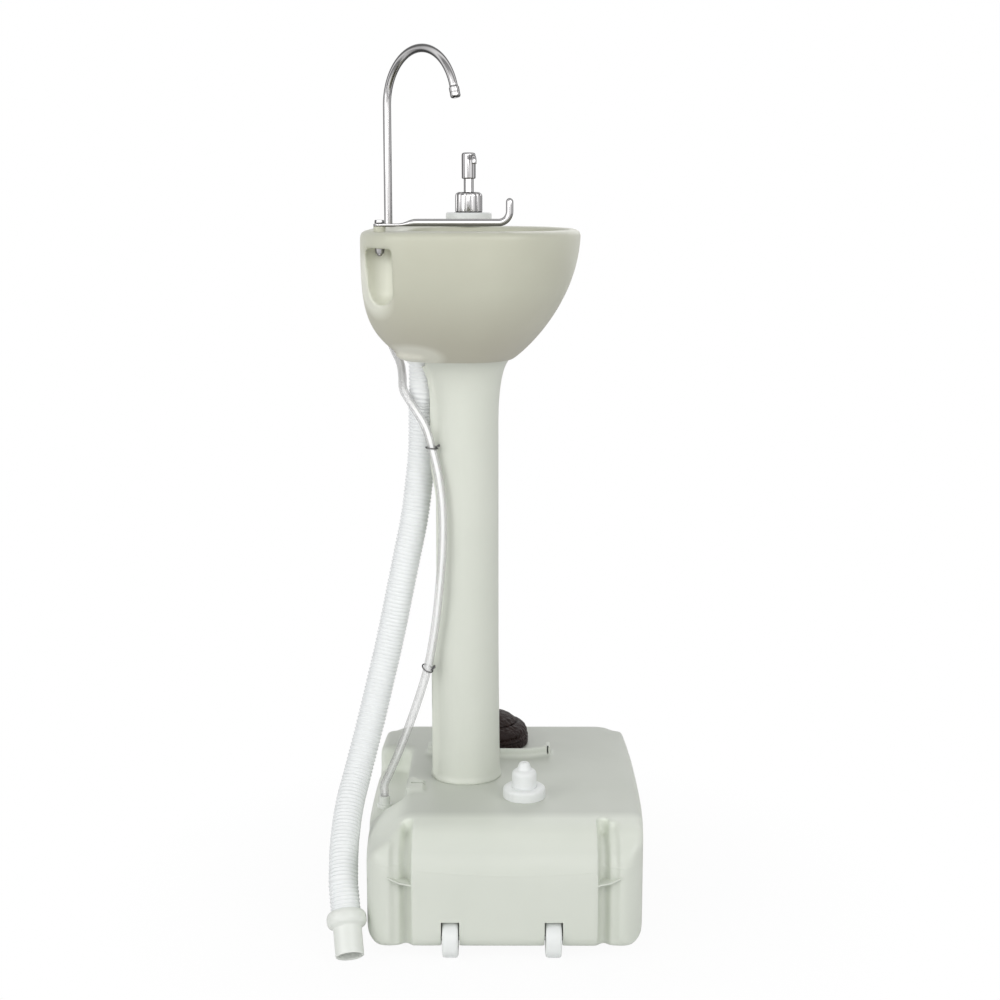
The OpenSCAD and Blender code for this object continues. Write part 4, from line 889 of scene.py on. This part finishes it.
def moulded_plastic(name, colour, shade, rough=0.42, skin=0.12, grain=0.05, seam=None, low=None,
                    lights=(), painted_bands=None):
    """seam is the height of the parting line. low is a colour of painted shade with the height and reach of
    its fade, lights are colours with the middle and reach of painted pale places, and bands are shares of the
    colour up to 160 mm that paint light and shade by height."""
    material, flow = new_material(name)
    cloud = noise_of(flow, 7, 3, 0.55)
    colour_at = (cloud * 1.6 - 0.3).clamp().mix(shade, colour)
    broad = noise_of(flow, 45, 2)
    fine = noise_of(flow, 1400, 2, 0.7)
    height = broad * skin + fine * grain
    level = flow.node("SeparateXYZ", inputs={0: object_place(flow)}, output=2)
    # The low colour is painted shade: below its level the colour fades darker.
    if low:
        colour_at = ((low[1] - level) * (1 / low[2])).clamp().mix(colour_at, low[0])
    # Each of the lights is a painted pale place, a round patch of paler colour that stands in for light.
    for tone, middle, reach in lights:
        away = flow.node("VectorMath", {"operation": "DISTANCE"}, {0: object_place(flow), 1: middle}, 1)
        colour_at = ((reach - away) * (3 / reach)).clamp().mix(colour_at, tone)
    # The bands paint light and shade by height. They multiply the colour, and towards the wheeled end they
    # sit higher.
    if painted_bands:
        along = flow.node("SeparateXYZ", inputs={0: object_place(flow)}, output=0)
        end_side = (end_from - along).clamp() * 0.4
        stops = [(at / band_top, (v, v, v)) for at, v in painted_bands]
        share = flow.node("ValToRGB", {"stops": stops}, {0: (level - end_side) * (1 / band_top)})
        colour_at = flow.node("Mix", {"data_type": "RGBA", "blend_type": "MULTIPLY"},
                              {0: 1.0, 6: colour_at, 7: share}, 2)
    if seam:
        across = flow.node("SeparateXYZ", inputs={0: object_place(flow)}, output=1) + 0.01
        off_seam = level + broad * 0.001 - (seam + 0.0005) - across * across * 0.5
        ridge = 1 - off_seam.maths("ABSOLUTE", off_seam, 0.0) * 900
        height = height + ridge.clamp() * 0.25
    bump = flow.node("Bump", inputs={"Height": height, "Strength": 0.35, "Distance": 0.002})
    shader = flow.node("BsdfPrincipled", inputs={
        "Base Color": colour_at, "Roughness": fine * 0.1 + broad * 0.1 + (rough - 0.1),
        "Normal": bump, "IOR": 1.5})
    finish_material(flow, shader)
    return material

tank_plastic = moulded_plastic("tank_plastic", linear(220, 223, 213), linear(213, 217, 206))
# The tank's bands are painted light and shade: the sides are darkened, the shoulder is lighter and the flat
# top darker.
tank_skin = moulded_plastic("tank_skin", linear(235, 239, 229), linear(227, 232, 221), seam=0.1015, painted_bands=[
    (0, 0.85), (0.096, 0.85), (0.118, 0.98), (0.137, 0.98), (0.1455, 0.74), (0.1475, 0.74), (0.15, 0.84)])
# The basin's low colour is painted shade, darker towards the bottom. Its two lights are painted pale places:
# one in the finger pocket under the towel rail, one low under the basin beside the column.
basin_plastic = moulded_plastic("basin_plastic", linear(200, 201, 184), linear(192, 192, 174), 0.4,
                                low=(linear(184, 180, 164), 0.745, 0.085),
                                lights=[(linear(226, 227, 213), (-0.126, 0.142, 0.748), 0.040),
                                        (linear(214, 213, 200), (-0.082, 0.097, 0.668), 0.034)])
white_plastic = moulded_plastic("white_plastic", linear(240, 242, 241), linear(233, 236, 235),
                                0.36, 0.04, 0.03)
milky_plastic = moulded_plastic("milky_plastic", linear(236, 239, 234), linear(228, 231, 225),
                                0.34, 0.05, 0.03)

# %% Clear plastic and hose plastic
def clear_plastic(name, tones, shares, rough):
    """Both the tone and the share of light that is stopped follow the angle it is seen at. The tone is a
    painted highlight and edge shade: pale where the surface faces the eye, greyer towards the edges.
    """
    material, flow = new_material(name)
    facing = flow.node("LayerWeight", inputs={"Blend": 0.5}, output=1)
    cloud = noise_of(flow, 30, 2)
    stopped = flow.node("ValToRGB", {"stops": [(at, (v, v, v)) for at, v in shares]}, {0: facing})
    tone = flow.node("ValToRGB", {"stops": tones}, {0: facing})
    shader = flow.node("BsdfPrincipled", inputs={
        "Base Color": tone, "Roughness": cloud * 0.1 + (rough - 0.05), "Alpha": stopped, "IOR": 1.48})
    finish_material(flow, shader)
    return material

def grey(v):
    return (v, v, v)

# The tube's tones paint a white highlight down its middle and grey shade at its edges.
tube_tones = [(0, grey(1)), (0.06, grey(0.98)), (0.3, grey(0.88)), (0.55, grey(0.66)), (1, grey(0.46))]
tube_plastic = clear_plastic("tube_plastic", tube_tones,
                             [(0, 0.85), (0.05, 0.75), (0.12, 0.28), (0.3, 0.2), (0.5, 0.42), (1, 0.8)], 0.1)
hose_plastic = clear_plastic("hose_plastic", [(0, linear(249, 251, 251)[:3]), (1, linear(236, 239, 240)[:3])],
                             [(0, 0.94), (1, 1.0)], 0.3)

# %% Metals
def metal(name, tones, rough, smudge):
    """A bright metal whose colour is a painted reflection: its tone follows the angle it is seen at, as a
    white room with dark gaps would reflect in it.
    """
    material, flow = new_material(name)
    facing = flow.node("LayerWeight", inputs={"Blend": 0.5}, output=1)
    blotch = noise_of(flow, 60, 3, 0.6)
    fine = noise_of(flow, 900, 2)
    stops = [(at, (v, v * 0.985, v * 0.99)) for at, v in tones]
    tone = flow.node("ValToRGB", {"stops": stops}, {0: facing + blotch * 0.03})
    shader = flow.node("BsdfPrincipled", inputs={
        "Base Color": tone, "Metallic": 1.0,
        "Roughness": blotch * smudge + fine * (smudge / 2) + (rough - smudge / 2)})
    finish_material(flow, shader)
    return material

# The chrome tones are a painted reflection: bright streaks and dark lines across each rod.
chrome_tones = [(0, 0.40), (0.03, 0.64), (0.08, 0.74), (0.14, 0.28), (0.22, 0.18), (0.30, 0.66), (0.38, 0.44),
                (0.46, 0.08), (1, 0.03)]
chrome = metal("chrome", chrome_tones, 0.12, 0.05)
steel = metal("steel", [(0, 0.46), (0.2, 0.40), (0.5, 0.26), (1, 0.10)], 0.3, 0.15)
wire_steel = metal("wire_steel", [(0, 0.26), (0.12, 0.14), (0.5, 0.08), (1, 0.05)], 0.3, 0.15)

# %% Rubber
def rubber(name, colour, shade, rough, wrinkle):
    material, flow = new_material(name)
    crease = noise_of(flow, 95, 5, 0.62)
    fold = flow.node("TexVoronoi", {"feature": "DISTANCE_TO_EDGE"},
                     {"Vector": object_place(flow), "Scale": 130.0})
    grain = noise_of(flow, 1600, 2)
    height = crease * wrinkle + fold * (wrinkle * 1.2) + grain * 0.08
    bump = flow.node("Bump", inputs={"Height": height, "Strength": 0.7, "Distance": 0.003})
    shader = flow.node("BsdfPrincipled", inputs={
        "Specular IOR Level": 0.18, "Base Color": crease.mix(shade, colour),
        "Roughness": crease * 0.25 + (rough - 0.12), "Normal": bump})
    finish_material(flow, shader)
    return material

bulb_rubber = rubber("bulb_rubber", linear(42, 25, 21), linear(12, 6, 5), 0.5, 1.1)
plain_rubber = rubber("plain_rubber", linear(40, 38, 37), linear(28, 27, 26), 0.55, 0.1)

# %% Finishes of the exact solids
finishes = {
    "tank_plastic": tank_plastic, "basin_plastic": basin_plastic, "white_plastic": white_plastic,
    "milky_plastic": milky_plastic, "clear_plastic": tube_plastic, "hose_plastic": hose_plastic,
    "chrome": chrome, "steel": steel, "wire": wire_steel, "rubber": plain_rubber}
for entry in frame["record"]["subparts"]:
    node = nodes[entry["node"]]
    node.data.materials.clear()
    node.data.materials.append(finishes[entry["material_slot"]])
drain_hose.data.materials.append(hose_plastic)
water_tube.data.materials.append(tube_plastic)
tank.data.materials.append(tank_skin)
basin.data.materials.append(basin_plastic)
for piece in (bulb_foot, bulb_wall, bulb_dome):
    piece.data.materials.append(bulb_rubber)
for piece, slot in dressed:
    piece.data.materials.clear()
    piece.data.materials.append(finishes[slot])
print("finishes set on", len(nodes), "solids")
